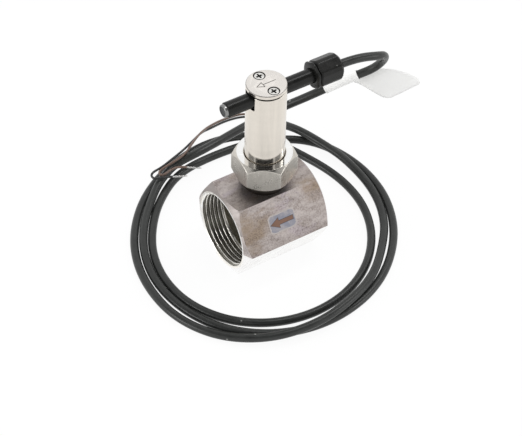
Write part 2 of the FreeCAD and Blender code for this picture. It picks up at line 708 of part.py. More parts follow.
def make_carrier():
    """Pivot carrier: a disc in the housing pilot with a lever slot, pin hole and return magnet hole."""
    body = new_body("pivot_carrier")
    revolve(body, "disc", [
        ("0", CARRIER_BOTTOM),
        (CARRIER_RADIUS, CARRIER_BOTTOM),
        (CARRIER_RADIUS, CARRIER_TOP),
        ("0", CARRIER_TOP),
    ])
    slot = new_sketch(body, "XY_Plane", "lever_slot_outline")
    add_rectangle(slot, SLOT_END, f"-{SLOT_SIDE}", SLOT_SIDE)
    pocket(body, "lever_slot", slot, symmetric=True, reverse=True)
    pin = new_sketch(body, "XZ_Plane", "pin_hole_outline")
    add_circle(pin, "0", PIVOT, "size.pin_diameter")
    pocket(body, "pin_hole", pin, symmetric=True)
    magnet = new_sketch(body, "YZ_Plane", "magnet_hole_outline", RETURN_FACE)
    add_circle(magnet, "0", RETURN_HEIGHT, "size.return_diameter")
    pocket(body, "magnet_hole", magnet, reverse=True)
    return body


def make_pin():
    """Pivot pin pressed across the carrier."""
    pin = doc.addObject("Part::Cylinder", "pivot_pin")
    pin.Label = "pivot_pin"
    pin.Placement = FreeCAD.Placement(FreeCAD.Vector(), FreeCAD.Rotation(FreeCAD.Vector(1, 0, 0), -90))
    pin.setExpression("Radius", "size.pin_diameter / 2")
    pin.setExpression("Height", f"2 * ({CARRIER_RADIUS} - size.pin_inset)")
    pin.setExpression("Placement.Base.y", f"size.pin_inset - {CARRIER_RADIUS}")
    pin.setExpression("Placement.Base.z", PIVOT)
    return pin


def make_clip():
    """Open retaining ring under the carrier."""
    body = new_body("carrier_clip")
    inner = f"({CARRIER_RADIUS} - size.clip_width)"
    revolve(body, "ring", [
        (inner, CLIP_BOTTOM),
        (CLIP_RADIUS, CLIP_BOTTOM),
        (CLIP_RADIUS, CARRIER_BOTTOM),
        (inner, CARRIER_BOTTOM),
    ])
    gap = new_sketch(body, "XY_Plane", "gap_outline")
    add_rectangle(gap, "(size.clip_gap / 2)", "0", f"(2 * {CLIP_RADIUS})")
    pocket(body, "gap", gap, reverse=True)
    return body


def make_return_magnet():
    """Fixed magnet that draws the lever back when the flow stops."""
    magnet = doc.addObject("Part::Cylinder", "return_magnet")
    magnet.Label = "return_magnet"
    magnet.Placement = FreeCAD.Placement(FreeCAD.Vector(), FreeCAD.Rotation(FreeCAD.Vector(0, 1, 0), 90))
    magnet.setExpression("Radius", "size.return_diameter / 2")
    magnet.setExpression("Height", "size.return_length")
    magnet.setExpression("Placement.Base.x", RETURN_FACE)
    magnet.setExpression("Placement.Base.z", RETURN_HEIGHT)
    return magnet


def make_lever():
    """Cranked lever: pivot boss, lower arm for the paddle and a leaning upper arm for the magnet."""
    boss = doc.addObject("Part::Cylinder", "lever_boss")
    boss.Placement = FreeCAD.Placement(FreeCAD.Vector(), FreeCAD.Rotation(FreeCAD.Vector(1, 0, 0), -90))
    boss.setExpression("Radius", BOSS_RADIUS)
    boss.setExpression("Height", "size.arm_width")
    boss.setExpression("Placement.Base.y", "-size.arm_width / 2")
    boss.setExpression("Placement.Base.z", PIVOT)
    lower = new_body("lever_lower_arm")
    strip = new_sketch(lower, "YZ_Plane", "strip_outline")
    half = "(size.arm_width / 2)"
    add_outline(strip, [
        (f"(size.arm_corner - {half})", LOWER_ARM_END),
        (f"({half} - size.arm_corner)", LOWER_ARM_END),
        (half, f"({LOWER_ARM_END} + size.arm_corner)"),
        (half, PIVOT),
        (f"-{half}", PIVOT),
        (f"-{half}", f"({LOWER_ARM_END} + size.arm_corner)"),
    ])
    pad(lower, "strip", strip, "size.arm_thickness", symmetric=True)
    drill_for_rivets(lower)
    upper = new_body("lever_upper_arm")
    lean_on_pivot(upper)
    rod = new_sketch(upper, "YZ_Plane", "rod_outline")
    add_rectangle(rod, half, "0", "size.upper_arm")
    pad(upper, "rod", rod, "size.arm_thickness", symmetric=True)
    blank = doc.addObject("Part::MultiFuse", "lever_blank")
    blank.Shapes = [boss, lower, upper]
    bore = doc.addObject("Part::Cylinder", "lever_bore")
    bore.Placement = boss.Placement
    bore.setExpression("Radius", BUSH_RADIUS)
    bore.setExpression("Height", "2 * size.arm_width")
    bore.setExpression("Placement.Base.y", "-size.arm_width")
    bore.setExpression("Placement.Base.z", PIVOT)
    lever = doc.addObject("Part::Cut", "paddle_lever")
    lever.Label = "paddle_lever"
    lever.Base = blank
    lever.Tool = bore
    return lever


def make_bush():
    """Plain bush pressed into the lever, running on the pin."""
    body = new_body("pivot_bush")
    body.Placement = FreeCAD.Placement(FreeCAD.Vector(), FreeCAD.Rotation(FreeCAD.Vector(1, 0, 0), -90))
    body.setExpression("Placement.Base.y", "-size.arm_width / 2")
    body.setExpression("Placement.Base.z", PIVOT)
    revolve(body, "sleeve", [
        (BUSH_BORE, "0"),
        (BUSH_RADIUS, "0"),
        (BUSH_RADIUS, "size.arm_width"),
        (BUSH_BORE, "size.arm_width"),
    ])
    return body


def make_magnet_cup():
    """Cup on the upper arm's end that holds the lever magnet."""
    body = new_body("magnet_cup")
    lean_on_pivot(body)
    inner = "(size.magnet_diameter / 2)"
    outer = f"({inner} + size.cup_wall)"
    revolve(body, "turned_cup", [
        ("0", "size.upper_arm"),
        (outer, "size.upper_arm"),
        (outer, CUP_RIM),
        (inner, CUP_RIM),
        (inner, "(size.upper_arm + size.cup_floor)"),
        ("0", "(size.upper_arm + size.cup_floor)"),
    ])
    return body


def make_lever_magnet():
    body = new_body("lever_magnet")
    lean_on_pivot(body)
    low = "(size.upper_arm + size.cup_floor)"
    high = f"({CUP_RIM} - size.magnet_sink)"
    radius = "(size.magnet_diameter / 2)"
    revolve(body, "rod", [("0", low), (radius, low), (radius, high), ("0", high)])
    return body


def make_blade():
    """Paddle blade with a round lower end, riveted to the lever's upstream face."""
    body = new_body("paddle_blade")
    outline = new_sketch(body, "YZ_Plane", "blade_outline", "size.arm_thickness / 2")
    half = "(size.blade_width / 2)"
    centre = f"({BLADE_TIP} + {half})"
    left_top = FreeCAD.Vector(-value(half), value(BLADE_TOP), 0)
    right_top = FreeCAD.Vector(value(half), value(BLADE_TOP), 0)
    right_low = FreeCAD.Vector(value(half), value(centre), 0)
    left_low = FreeCAD.Vector(-value(half), value(centre), 0)
    tip = FreeCAD.Vector(0, value(BLADE_TIP), 0)
    outline.addGeometry(Part.LineSegment(left_top, right_top), False)
    outline.addGeometry(Part.LineSegment(right_top, right_low), False)
    outline.addGeometry(Part.LineSegment(left_low, left_top), False)
    outline.addGeometry(Part.Arc(left_low, tip, right_low), False)
    outline.addConstraint(Sketcher.Constraint("Coincident", 0, 2, 1, 1))
    outline.addConstraint(Sketcher.Constraint("Coincident", 2, 2, 0, 1))
    outline.addConstraint(Sketcher.Constraint("Coincident", 3, 1, 2, 1))
    outline.addConstraint(Sketcher.Constraint("Coincident", 3, 2, 1, 2))
    pin_point(outline, 0, 1, f"-{half}", BLADE_TOP)
    pin_point(outline, 0, 2, half, BLADE_TOP)
    pin_point(outline, 1, 2, half, centre)
    pin_point(outline, 2, 1, f"-{half}", centre)
    level = outline.addConstraint(Sketcher.Constraint("DistanceY", -1, 1, 3, 3, value(centre)))
    outline.setExpression(f"Constraints[{level}]", centre)
    pad(body, "plate", outline, "size.blade_thickness")
    drill_for_rivets(body)
    return body


def make_rivets():
    """Two rivets through blade and lever, a head on each side."""
    grip = "(size.arm_thickness + size.blade_thickness)"
    head = f"({RIVET_RADIUS} + size.rivet_head_rim)"
    far = f"({grip} + 2 * size.rivet_head_height)"
    rivets = []
    for number, height in enumerate(RIVET_HEIGHTS, start=1):
        body = new_body(f"blade_rivet_{number}")
        lay_along_pipe(body, "-(size.arm_thickness / 2 + size.rivet_head_height)", height)
        revolve(body, "turned_rivet", [
            ("0", "0"),
            (RIVET_RADIUS, "0"),
            (head, "size.rivet_head_height"),
            (RIVET_RADIUS, "size.rivet_head_height"),
            (RIVET_RADIUS, f"({far} - size.rivet_head_height)"),
            (head, f"({far} - size.rivet_head_height)"),
            (RIVET_RADIUS, far),
            ("0", far),
        ])
        rivets.append(body)
    pair = doc.addObject("Part::Compound", "blade_rivets")
    pair.Label = "blade_rivets"
    pair.Links = rivets
    return pair


# Routes of the cable and its two conductors, points chosen by hand along the run seen on the object.
# Out of the gland, over a hanging loop, down behind the housing and into the coil:
CABLE_ROUTE = (
    (44.5, 0.0, 105.6),
    (57.0, -0.5, 104.8),
    (67.6, -1.4, 102.0),
    (74.4, 1.4, 97.3),
    (77.2, 5.8, 89.7),
    (74.4, 10.1, 82.2),
    (60.0, 18.1, 74.0),
    (44.7, 26.9, 63.5),
    (30.8, 38.1, 51.5),
    (18.8, 50.8, 35.0),
    (8.2, 62.0, 19.5),
    (-2.6, 68.6, 8.6),
    (-12.0, 70.6, 4.2),
)
# The free end, straight out of the coil to where the sheath is stripped:
TAIL_ROUTE = ((73.5, 36.0, 2.4), (67.0, 55.0, 2.4), (59.9, 70.2, 2.4), (53.0, 83.1, 2.4))
BROWN_ROUTE = (
    (53.0, 83.1, 3.15),
    (47.4, 91.2, 2.2),
    (35.2, 94.9, 1.0),
    (22.5, 92.3, 2.6),
    (12.6, 85.2, 6.8),
    (3.6, 77.6, 8.8),
    (-7.5, 71.6, 9.0),
    (-14.5, 69.4, 8.6),
    (-15.6, 66.9, 8.4),
    (-5.7, 62.3, 8.0),
)
BLACK_ROUTE = (
    (53.0, 83.1, 1.65),
    (46.6, 89.8, 1.2),
    (34.8, 92.7, 0.8),
    (22.3, 91.9, 0.8),
    (13.4, 87.8, 4.4),
    (4.6, 80.7, 8.5),
    (-8.5, 74.2, 8.5),
    (-20.5, 69.4, 8.4),
    (-28.4, 67.6, 8.4),
    (-29.6, 65.0, 8.4),
    (-16.3, 60.4, 8.1),
)
# Rim of the coil as two leaning ellipses: centre, long and short half axis, and lean of the long axis
COIL_INNER = ((2.05, 5.64), 63.0, 57.4, 70.0)
COIL_OUTER = ((3.7, 5.3), 80.5, 71.6, 55.0)
# Folded label on the cable behind the loop: its two root corners and the way that it sticks out
LABEL_ROOT = ((74.9, 9.0, 80.0), (60.8, 17.0, 71.5))
LABEL_FLAG = (19.5, -15.0, -7.2)


# Share of the shorter run that a bend takes up on each side of its corner
BEND_SHARE = 0.45
# Edges lower than this lie flat in the rim of the coil
FLAT_EDGE = 0.01


def rounded_path(label, points):
    """Straight runs joined by tangent arcs, each as large as its two runs allow."""
    corners = [FreeCAD.Vector(*point) for point in points]
    edges = []
    radii = []
    start = corners[0]
    for before, corner, after in zip(corners, corners[1:], corners[2:]):
        arriving = (corner - before).normalize()
        leaving = (after - corner).normalize()
        turn = arriving.getAngle(leaving)
        trim = BEND_SHARE * min((corner - before).Length, (after - corner).Length)
        radius = trim / math.tan(turn / 2)
        centre = corner + (leaving - arriving).normalize() * math.hypot(radius, trim)
        first = corner - arriving * trim
        last = corner + leaving * trim
        middle = centre + (corner - centre).normalize() * radius
        edges.append(Part.LineSegment(start, first).toShape())
        edges.append(Part.Arc(first, middle, last).toShape())
        radii.append(round(radius, 1))
        start = last
    edges.append(Part.LineSegment(start, corners[-1]).toShape())
    print(label, "bend radii", radii)
    return Part.Wire(edges)


def make_cord(label, points, diameter):
    """A plain round cord along a route."""
    path = rounded_path(label, points)
    heading = FreeCAD.Vector(*points[1]) - FreeCAD.Vector(*points[0])
    section = Part.Wire(Part.Circle(FreeCAD.Vector(*points[0]), heading, diameter / 2).toShape())
    solid = path.makePipeShell([section], True, False)
    expected = math.pi * diameter ** 2 / 4 * path.Length
    print(label, "length", round(path.Length, 1), "volume ratio", round(solid.Volume / expected, 4))
    cord = doc.addObject("Part::Feature", label)
    cord.Label = label
    cord.Shape = solid
    return cord


def make_cable_lead():
    gland_end = (value(TUBE_END), 0.0, value(TUBE_AXIS))
    return make_cord("cable_lead", (gland_end,) + CABLE_ROUTE, value("size.cable_diameter"))


def make_conductor_tips():
    """Tinned wire ends beyond the insulation."""
    radius = value("size.strand_diameter") / 2
    tips = []
    for route in (BROWN_ROUTE, BLACK_ROUTE):
        start = FreeCAD.Vector(*route[-1])
        heading = start - FreeCAD.Vector(*route[-2])
        tips.append(Part.makeCylinder(radius, value("size.strand_length"), start, heading))
    pair = doc.addObject("Part::Feature", "conductor_tips")
    pair.Label = "conductor_tips"
    pair.Shape = Part.Compound(tips)
    return pair


def rim_face(rim, level):
    """Flat face inside one leaning ellipse."""
    (across, along), long_half, short_half, lean = rim
    ellipse = Part.Ellipse(FreeCAD.Vector(), long_half, short_half).toShape()
    face = Part.Face(Part.Wire(ellipse))
    turn = FreeCAD.Rotation(FreeCAD.Vector(0, 0, 1), lean)
    face.Placement = FreeCAD.Placement(FreeCAD.Vector(across, along, level), turn)
    return face


def make_coil():
    """Outer form of the loose turns that lie round the tee."""
    rest = value("size.coil_rest")
    rise = FreeCAD.Vector(0, 0, value("size.coil_height"))
    ring = rim_face(COIL_OUTER, rest).extrude(rise).cut(rim_face(COIL_INNER, rest).extrude(rise))
    rims = [edge for edge in ring.Edges if edge.Closed and edge.BoundBox.ZLength < FLAT_EDGE]
    coil = doc.addObject("Part::Feature", "cable_coil")
    coil.Label = "cable_coil"
    coil.Shape = ring.makeFillet(value("size.coil_round"), rims).Solids[0]
    return coil


def make_label():
    """Blank folded label that stands off the cable."""
    first, second = [FreeCAD.Vector(*corner) for corner in LABEL_ROOT]
    flag = FreeCAD.Vector(*LABEL_FLAG)
    corners = [first, second, second + flag, first + flag]
    face = Part.Face(Part.makePolygon(corners + [first]))
    normal = (second - first).cross(flag).normalize()
    label = doc.addObject("Part::Feature", "cable_label")
    label.Label = "cable_label"
    label.Shape = face.extrude(normal * value("size.label_thickness"))
    return label


def make_parts():
    """Every sub-part of the switch, in the order in which it goes together."""
    return [
        make_tee_body(),
        make_neck(),
        make_seal(),
        make_union_nut(),
        make_housing(),
        make_cap(),
        make_screws(),
        make_carrier(),
        make_pin(),
        make_clip(),
        make_return_magnet(),
        make_lever(),
        make_bush(),
        make_magnet_cup(),
        make_lever_magnet(),
        make_blade(),
        make_rivets(),
        make_tube(),
        make_end_plug(),
        make_potting(),
        make_reed_glass(),
        make_reed("reed_upper", 1),
        make_reed("reed_lower", -1),
        make_gland_body(),
        make_gland_nut(),
        make_gland_seal(),
        make_cable_lead(),
        make_coil(),
        make_cord("cable_tail", TAIL_ROUTE, value("size.cable_diameter")),
        make_cord("conductor_brown", BROWN_ROUTE, value("size.conductor_diameter")),
        make_cord("conductor_black", BLACK_ROUTE, value("size.conductor_diameter")),
        make_conductor_tips(),
        make_label(),
    ]


def check_parts(parts):
    """Stops the build at a failed feature or a shape that isn't sound."""
    for item in doc.Objects:
        if "Invalid" in item.State or "Error" in item.State:
            raise RuntimeError(f"{item.Name} failed: {item.State}")
    for part in parts:
        if part.Shape.isNull() or not part.Shape.isValid() or not part.Shape.Solids:
            raise RuntimeError(f"{part.Label} has no sound shape")


def write_parts(parts):
    os.makedirs("parts", exist_ok=True)
    for part in parts:
        part.Shape.exportStep(f"parts/{part.Label}.step")
        print(part.Label, "solids", len(part.Shape.Solids), "volume", round(part.Shape.Volume, 1))


all_parts = make_parts()
doc.recompute()
check_parts(all_parts)
write_parts(all_parts)
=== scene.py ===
import math

import bmesh
import bpy
from mathutils import Matrix, Vector


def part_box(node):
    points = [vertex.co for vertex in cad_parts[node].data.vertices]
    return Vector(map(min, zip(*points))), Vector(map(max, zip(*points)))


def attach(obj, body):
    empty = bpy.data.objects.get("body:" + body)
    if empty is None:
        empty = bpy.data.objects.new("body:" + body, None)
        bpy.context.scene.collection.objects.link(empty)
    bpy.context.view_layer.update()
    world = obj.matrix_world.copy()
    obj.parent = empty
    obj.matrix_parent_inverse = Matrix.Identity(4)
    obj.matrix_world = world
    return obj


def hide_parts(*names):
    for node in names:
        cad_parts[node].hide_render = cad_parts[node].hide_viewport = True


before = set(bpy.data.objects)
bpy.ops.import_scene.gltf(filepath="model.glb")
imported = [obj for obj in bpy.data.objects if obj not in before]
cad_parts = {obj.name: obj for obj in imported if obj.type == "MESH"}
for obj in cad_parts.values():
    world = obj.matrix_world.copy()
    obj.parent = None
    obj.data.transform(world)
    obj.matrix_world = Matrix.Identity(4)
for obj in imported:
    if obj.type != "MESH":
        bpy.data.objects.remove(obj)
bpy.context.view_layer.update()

bl_info = {
    "name": "Inline paddle flow switch",
    "version": (1, 0, 0),
    "blender": (4, 5, 0),
    "location": "3D View > Sidebar > Flow Switch",
    "description": "Dresses the packed flow switch with threads, finishes, cable, label and studio light",
    "category": "Object",
}

MM = 0.001
# Ending of this file's material names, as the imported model's plain materials have the bare ones
FINISH = "_finish"
# Half of the angle that a flat of a hexagon takes up
HALF_FLAT = math.radians(30.0)
# Columns of faces round a turned piece, a screw and the tube
COLUMNS = 96
SCREW_COLUMNS = 48
TUBE_COLUMNS = 64

# Lowest and highest corners of the solids

TEE_LOW, TEE_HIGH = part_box("tee_body")
NECK_LOW, NECK_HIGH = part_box("neck_adapter")
NUT_LOW, NUT_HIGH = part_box("union_nut")
HOUSING_LOW, HOUSING_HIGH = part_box("switch_housing")
CAP_LOW, CAP_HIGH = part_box("clamp_cap")
SCREW_LOW, SCREW_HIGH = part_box("cap_screws")
TUBE_LOW, TUBE_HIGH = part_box("sensor_tube")
PLUG_LOW, PLUG_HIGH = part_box("tube_end_plug")
COLLAR_LOW, COLLAR_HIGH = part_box("gland_body")
GLAND_LOW, GLAND_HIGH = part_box("gland_nut")
BORE_HEIGHT = (TEE_LOW.z + TEE_HIGH.z) / 2
TUBE_HEIGHT = (TUBE_LOW.z + TUBE_HIGH.z) / 2

# Sizes that two pieces share

NECK_SHANK = 11.0 * MM
SCREW_OFFSET = 6.75 * MM
TUBE_BORE = 3.05 * MM

# The camera's place, the way from the part to it, its tilt and its lens

CAMERA_SPOT = (-0.417445, -0.625562, 0.759744)
CAMERA_BACK = (-0.394497, -0.592868, 0.702054)
CAMERA_TILT = math.radians(1.496)
CAMERA_LENS = 137.13

# Each lamp's name, place, width, height and power

LAMPS = (
    ("lamp_above", (0.47, 0.02, 1.15), 0.25, 1.0, 4.0),
    ("lamp_left", (-1.15, 0.10, 0.34), 0.5, 0.5, 4.0),
    ("lamp_right", (0.90, -0.80, 0.36), 0.4, 0.5, 2.0),
)
LAMP_AIM = (0.0, 0.0, 0.06)

# The pale room and its darker zones round one direction, which show only in gloss: start, stop and grey

WHITE = (1.0, 1.0, 1.0, 1.0)
ROOM_PALE = (0.97, 0.97, 0.97, 1.0)
ROOM_DARK_WAY = (-0.394, -0.593, 0.702)
ROOM_ZONES = ((0.30, 0.44, 0.24), (0.735, 0.75, 0.80), (0.76, 0.83, 0.010))

# The floor's colour, the share of plain white that shows in it, and the rings of its mesh in metres

FLOOR_GREY = (0.86, 0.86, 0.86, 1.0)
FLOOR_WHITE_SHARE = 0.93
FLOOR_RINGS = (0.05, 0.4, 1.5, 6.0)

# Routes of the cable and its two conductors, in millimetres

CABLE_LEAD = (
    (31.0, 0.0, 105.6), (44.5, 0.0, 105.6), (57.0, -0.5, 104.8), (67.6, -1.4, 102.0), (74.4, 1.4, 97.3),
    (77.2, 5.8, 89.7), (74.4, 10.1, 82.2), (67.3, 14.1, 78.1), (60.0, 18.1, 74.0), (44.7, 26.9, 63.5),
    (30.8, 38.1, 51.5), (18.8, 50.8, 35.0), (9.0, 61.4, 20.5), (-1.0, 67.9, 11.4), (-12.0, 70.6, 7.4),
    (-23.8, 65.6, 6.0),
)
# The coil's turns as distance from the housing axis and height, with a point every 20 degrees
COIL_START = 120.0
COIL_STEP = 20.0
FIRST_TURN = (
    (67.2, 4.9), (64.8, 3.7), (64.7, 3.1), (65.5, 2.7), (66.7, 2.4), (68.6, 2.4), (69.3, 2.4), (69.1, 2.4),
    (68.6, 2.4), (69.0, 2.4), (70.2, 2.4), (73.4, 2.4), (77.7, 2.4), (81.9, 2.4), (85.0, 2.4), (78.0, 2.4),
    (71.2, 2.4),
)
SECOND_TURN = (
    (69.0, 2.4), (63.3, 2.4), (60.1, 2.4), (59.9, 2.4), (60.6, 2.4), (61.8, 2.4), (62.2, 2.4), (61.6, 2.4),
    (60.4, 2.4), (59.2, 2.4), (58.6, 2.4), (58.9, 2.4), (60.4, 2.4), (62.8, 2.4), (65.9, 2.4), (69.8, 3.8),
    (78.6, 8.0), (81.0, 4.2),
)
THIRD_TURN = (
    (76.6, 2.4), (72.2, 2.4), (69.7, 2.4), (69.5, 2.4), (70.6, 2.4), (73.4, 2.4), (74.4, 2.5), (74.0, 4.8),
    (71.2, 7.0), (67.2, 7.6), (65.4, 6.4), (64.3, 3.6), (68.5, 2.6), (73.0, 3.0), (77.2, 4.8),
)
CABLE_TAIL = ((67.0, 43.0, 6.9), (62.0, 57.8, 7.4), (58.4, 69.4, 4.6), (53.0, 83.1, 2.4))
BROWN_ROUTE = (
    (53.0, 83.1, 3.15), (47.4, 91.2, 2.2), (35.2, 94.3, 1.0), (22.5, 91.4, 3.2), (11.7, 83.7, 8.6),
    (2.3, 76.3, 11.6), (-5.4, 70.2, 12.5), (-12.6, 68.6, 11.9), (-18.1, 68.7, 10.6), (-24.6, 68.2, 9.4),
    (-24.6, 64.0, 9.2), (-17.0, 65.9, 9.6), (-12.6, 65.7, 9.4), (-9.0, 63.5, 9.0),
)
BLACK_ROUTE = (
    (53.0, 83.1, 1.65), (46.6, 89.8, 1.2), (34.8, 92.7, 0.8), (22.3, 91.0, 1.4), (14.9, 87.1, 5.4),
    (5.9, 80.6, 9.0), (-4.2, 74.6, 11.0), (-13.1, 71.8, 10.8), (-21.2, 69.8, 9.8), (-28.7, 69.3, 9.2),
    (-29.9, 64.6, 9.3), (-23.5, 62.6, 9.4), (-19.6, 60.9, 9.1),
)
# The stretch of cable that the label wraps, as limits to x, z and y, and the bends of its flag's two edges
LABEL_STRETCH = (51.0, 67.6)
LABEL_HEIGHTS = (60.0, 83.0)
LABEL_DEPTH = 30.0
LABEL_UPPER_EDGE = ((68.5, 16.1, 77.2), (75.5, 13.8, 81.1), (88.6, 2.2, 83.1), (95.2, -6.1, 75.1))
LABEL_LOWER_EDGE = ((60.8, 20.2, 71.4), (69.7, 15.8, 73.7), (71.8, 10.4, 66.5), (79.7, 2.3, 64.0))


class FlowSwitchSizes(bpy.types.PropertyGroup):
    """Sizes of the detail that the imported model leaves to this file."""

    thread_pitch: bpy.props.FloatProperty(
        name="Pipe thread pitch", description="One turn of the tee's pipe thread",
        default=2.309 * MM, unit="LENGTH")
    thread_depth: bpy.props.FloatProperty(
        name="Pipe thread depth", description="Depth of the tee's pipe thread",
        default=1.48 * MM, unit="LENGTH")
    neck_pitch: bpy.props.FloatProperty(
        name="Neck thread pitch", description="One turn of the neck's outside thread",
        default=1.5 * MM, unit="LENGTH")
    neck_depth: bpy.props.FloatProperty(
        name="Neck thread depth", description="Depth of the neck's outside thread",
        default=0.9 * MM, unit="LENGTH")
    rounding: bpy.props.FloatProperty(
        name="Steel edge rounding", description="Width of the broken edges on turned and milled steel",
        default=0.22 * MM, unit="LENGTH")
    moulded_rounding: bpy.props.FloatProperty(
        name="Plastic edge rounding", description="Width of the rounded edges on moulded plastic",
        default=0.6 * MM, unit="LENGTH")
    cable_diameter: bpy.props.FloatProperty(
        name="Cable diameter", description="Outside of the cable sheath",
        default=4.6 * MM, unit="LENGTH")
    wire_diameter: bpy.props.FloatProperty(
        name="Conductor diameter", description="Outside of an insulated conductor",
        default=1.3 * MM, unit="LENGTH")
    tip_length: bpy.props.FloatProperty(
        name="Bare tip length", description="Tinned strands beyond the insulation",
        default=8.2 * MM, unit="LENGTH")
    engraving: bpy.props.FloatProperty(
        name="Engraving width", description="Line width of the arrow engraved in the cap",
        default=0.40 * MM, unit="LENGTH")
    sticker_width: bpy.props.FloatProperty(
        name="Flow sticker width", description="Flow direction sticker along the pipe",
        default=16.4 * MM, unit="LENGTH")
    sticker_height: bpy.props.FloatProperty(
        name="Flow sticker height", description="Flow direction sticker across the pipe",
        default=10.6 * MM, unit="LENGTH")
    label_film: bpy.props.FloatProperty(
        name="Label thickness", description="Folded film of the cable label",
        default=0.3 * MM, unit="LENGTH")


class FlowSwitchColours(bpy.types.PropertyGroup):
    """Colours of the finishes."""

    tee: bpy.props.FloatVectorProperty(
        name="Tee steel", description="Pickled bar steel of the tee", subtype="COLOR", size=4,
        default=(0.525, 0.475, 0.455, 1.0))
    tee_dark: bpy.props.FloatVectorProperty(
        name="Tee steel, dark", description="Darker patches of the tee's steel", subtype="COLOR", size=4,
        default=(0.375, 0.33, 0.31, 1.0))
    tee_tint: bpy.props.FloatVectorProperty(
        name="Tee heat tint", description="Brown heat tint on the tee", subtype="COLOR", size=4,
        default=(0.345, 0.275, 0.215, 1.0))
    tee_cast: bpy.props.FloatVectorProperty(
        name="Tee lilac cast", description="Lilac cast left by pickling", subtype="COLOR", size=4,
        default=(0.51, 0.455, 0.48, 1.0))
    bright_steel: bpy.props.FloatVectorProperty(
        name="Turned steel", description="Freshly turned ends, threads and bores", subtype="COLOR", size=4,
        default=(0.66, 0.64, 0.60, 1.0))
    nut: bpy.props.FloatVectorProperty(
        name="Nut steel", description="Satin flats of the union nut", subtype="COLOR", size=4,
        default=(0.61, 0.58, 0.53, 1.0))
    nut_dark: bpy.props.FloatVectorProperty(
        name="Nut steel, dark", description="Darker patches of the nut's steel", subtype="COLOR", size=4,
        default=(0.48, 0.455, 0.415, 1.0))
    housing: bpy.props.FloatVectorProperty(
        name="Housing steel", description="Warm satin steel of the housing", subtype="COLOR", size=4,
        default=(0.765, 0.715, 0.645, 1.0))
    cap: bpy.props.FloatVectorProperty(
        name="Cap steel", description="Bright steel of the clamp cap", subtype="COLOR", size=4,
        default=(0.79, 0.755, 0.715, 1.0))
    black_plastic: bpy.props.FloatVectorProperty(
        name="Black plastic", description="Tube and gland", subtype="COLOR", size=4,
        default=(0.006, 0.006, 0.0055, 1.0))
    sheath: bpy.props.FloatVectorProperty(
        name="Cable sheath", description="Black cable sheath", subtype="COLOR", size=4,
        default=(0.0195, 0.0206, 0.0197, 1.0))
    brown_wire: bpy.props.FloatVectorProperty(
        name="Brown conductor", description="Brown insulation", subtype="COLOR", size=4,
        default=(0.115, 0.073, 0.056, 1.0))
    black_wire: bpy.props.FloatVectorProperty(
        name="Black conductor", description="Black insulation", subtype="COLOR", size=4,
        default=(0.016, 0.016, 0.016, 1.0))
    label: bpy.props.FloatVectorProperty(
        name="Label film", description="Blank white label", subtype="COLOR", size=4,
        default=(0.83, 0.83, 0.82, 1.0))
    sticker: bpy.props.FloatVectorProperty(
        name="Flow sticker", description="Lilac ground of the flow sticker", subtype="COLOR", size=4,
        default=(0.195, 0.20, 0.245, 1.0))
    arrow: bpy.props.FloatVectorProperty(
        name="Flow arrow", description="Arrow on the flow sticker", subtype="COLOR", size=4,
        default=(0.17, 0.085, 0.054, 1.0))


# Node trees


def add(tree, kind, values=None, **options):
    """New node with its options and socket values set."""
    made = tree.nodes.new(kind)
    for key, option in options.items():
        setattr(made, key, option)
    for key, amount in (values or {}).items():
        made.inputs[key].default_value = amount
    return made


def join(tree, source, target):
    """Links an output to an input, or gives the input a plain value."""
    if isinstance(source, bpy.types.NodeSocket):
        tree.links.new(source, target)
    else:
        target.default_value = source


def new_group(name, inputs, outputs):
    """Empty shader node group with named sockets, and its two ends."""
    group = bpy.data.node_groups.new(name, "ShaderNodeTree")
    for label, kind, amount in inputs:
        socket = group.interface.new_socket(name=label, in_out="INPUT", socket_type=kind)
        socket.default_value = amount
    for label, kind in outputs:
        group.interface.new_socket(name=label, in_out="OUTPUT", socket_type=kind)
    return group, add(group, "NodeGroupInput"), add(group, "NodeGroupOutput")


def empty_tree(owner):
    """Node tree of a material or of the world, with nothing in it."""
    owner.use_nodes = True
    owner.node_tree.nodes.clear()
    return owner.node_tree


def on_piece(tree):
    """Places on the piece, in metres."""
    return add(tree, "ShaderNodeTexCoord").outputs["Object"]


def ramp(tree, source, low, high, first=0.0, second=1.0):
    """Values of a socket eased from first at low to second at high."""
    ends = {"From Min": low, "From Max": high, "To Min": first, "To Max": second}
    eased = add(tree, "ShaderNodeMapRange", ends, interpolation_type="SMOOTHSTEP")
    join(tree, source, eased.inputs["Value"])
    return eased.outputs["Result"]


def spread(tree, source, first, second, low=0.0, high=1.0):
    """Values of a socket laid out evenly, from first at low to second at high."""
    even = add(tree, "ShaderNodeMapRange", {"From Min": low, "From Max": high})
    join(tree, source, even.inputs["Value"])
    join(tree, first, even.inputs["To Min"])
    join(tree, second, even.inputs["To Max"])
    return even.outputs["Result"]


def reckon(tree, operation, first, second, **options):
    """Result of an operation on two sockets, or on a socket and a number."""
    made = add(tree, "ShaderNodeMath", operation=operation, **options)
    join(tree, first, made.inputs[0])
    join(tree, second, made.inputs[1])
    return made.outputs[0]


def times(tree, first, second):
    """Product of two sockets, or of a socket and a number."""
    return reckon(tree, "MULTIPLY", first, second)


def blend(tree, mask, first, second, kind="MIX"):
    """Colour that goes from first to second with the mask."""
    mixed = add(tree, "ShaderNodeMix", data_type="RGBA", blend_type=kind)
    join(tree, mask, mixed.inputs["Factor"])
    join(tree, first, mixed.inputs[6])
    join(tree, second, mixed.inputs[7])
    return mixed.outputs[2]


def vector_math(tree, operation, first, second=(0.0, 0.0, 0.0)):
    """Outputs of an operation on two vectors."""
    made = add(tree, "ShaderNodeVectorMath", operation=operation)
    join(tree, first, made.inputs[0])
    join(tree, second, made.inputs[1])
    return made.outputs


def parts_of(tree, vector):
    """The three parts of a vector."""
    made = add(tree, "ShaderNodeSeparateXYZ")
    join(tree, vector, made.inputs["Vector"])
    return made.outputs


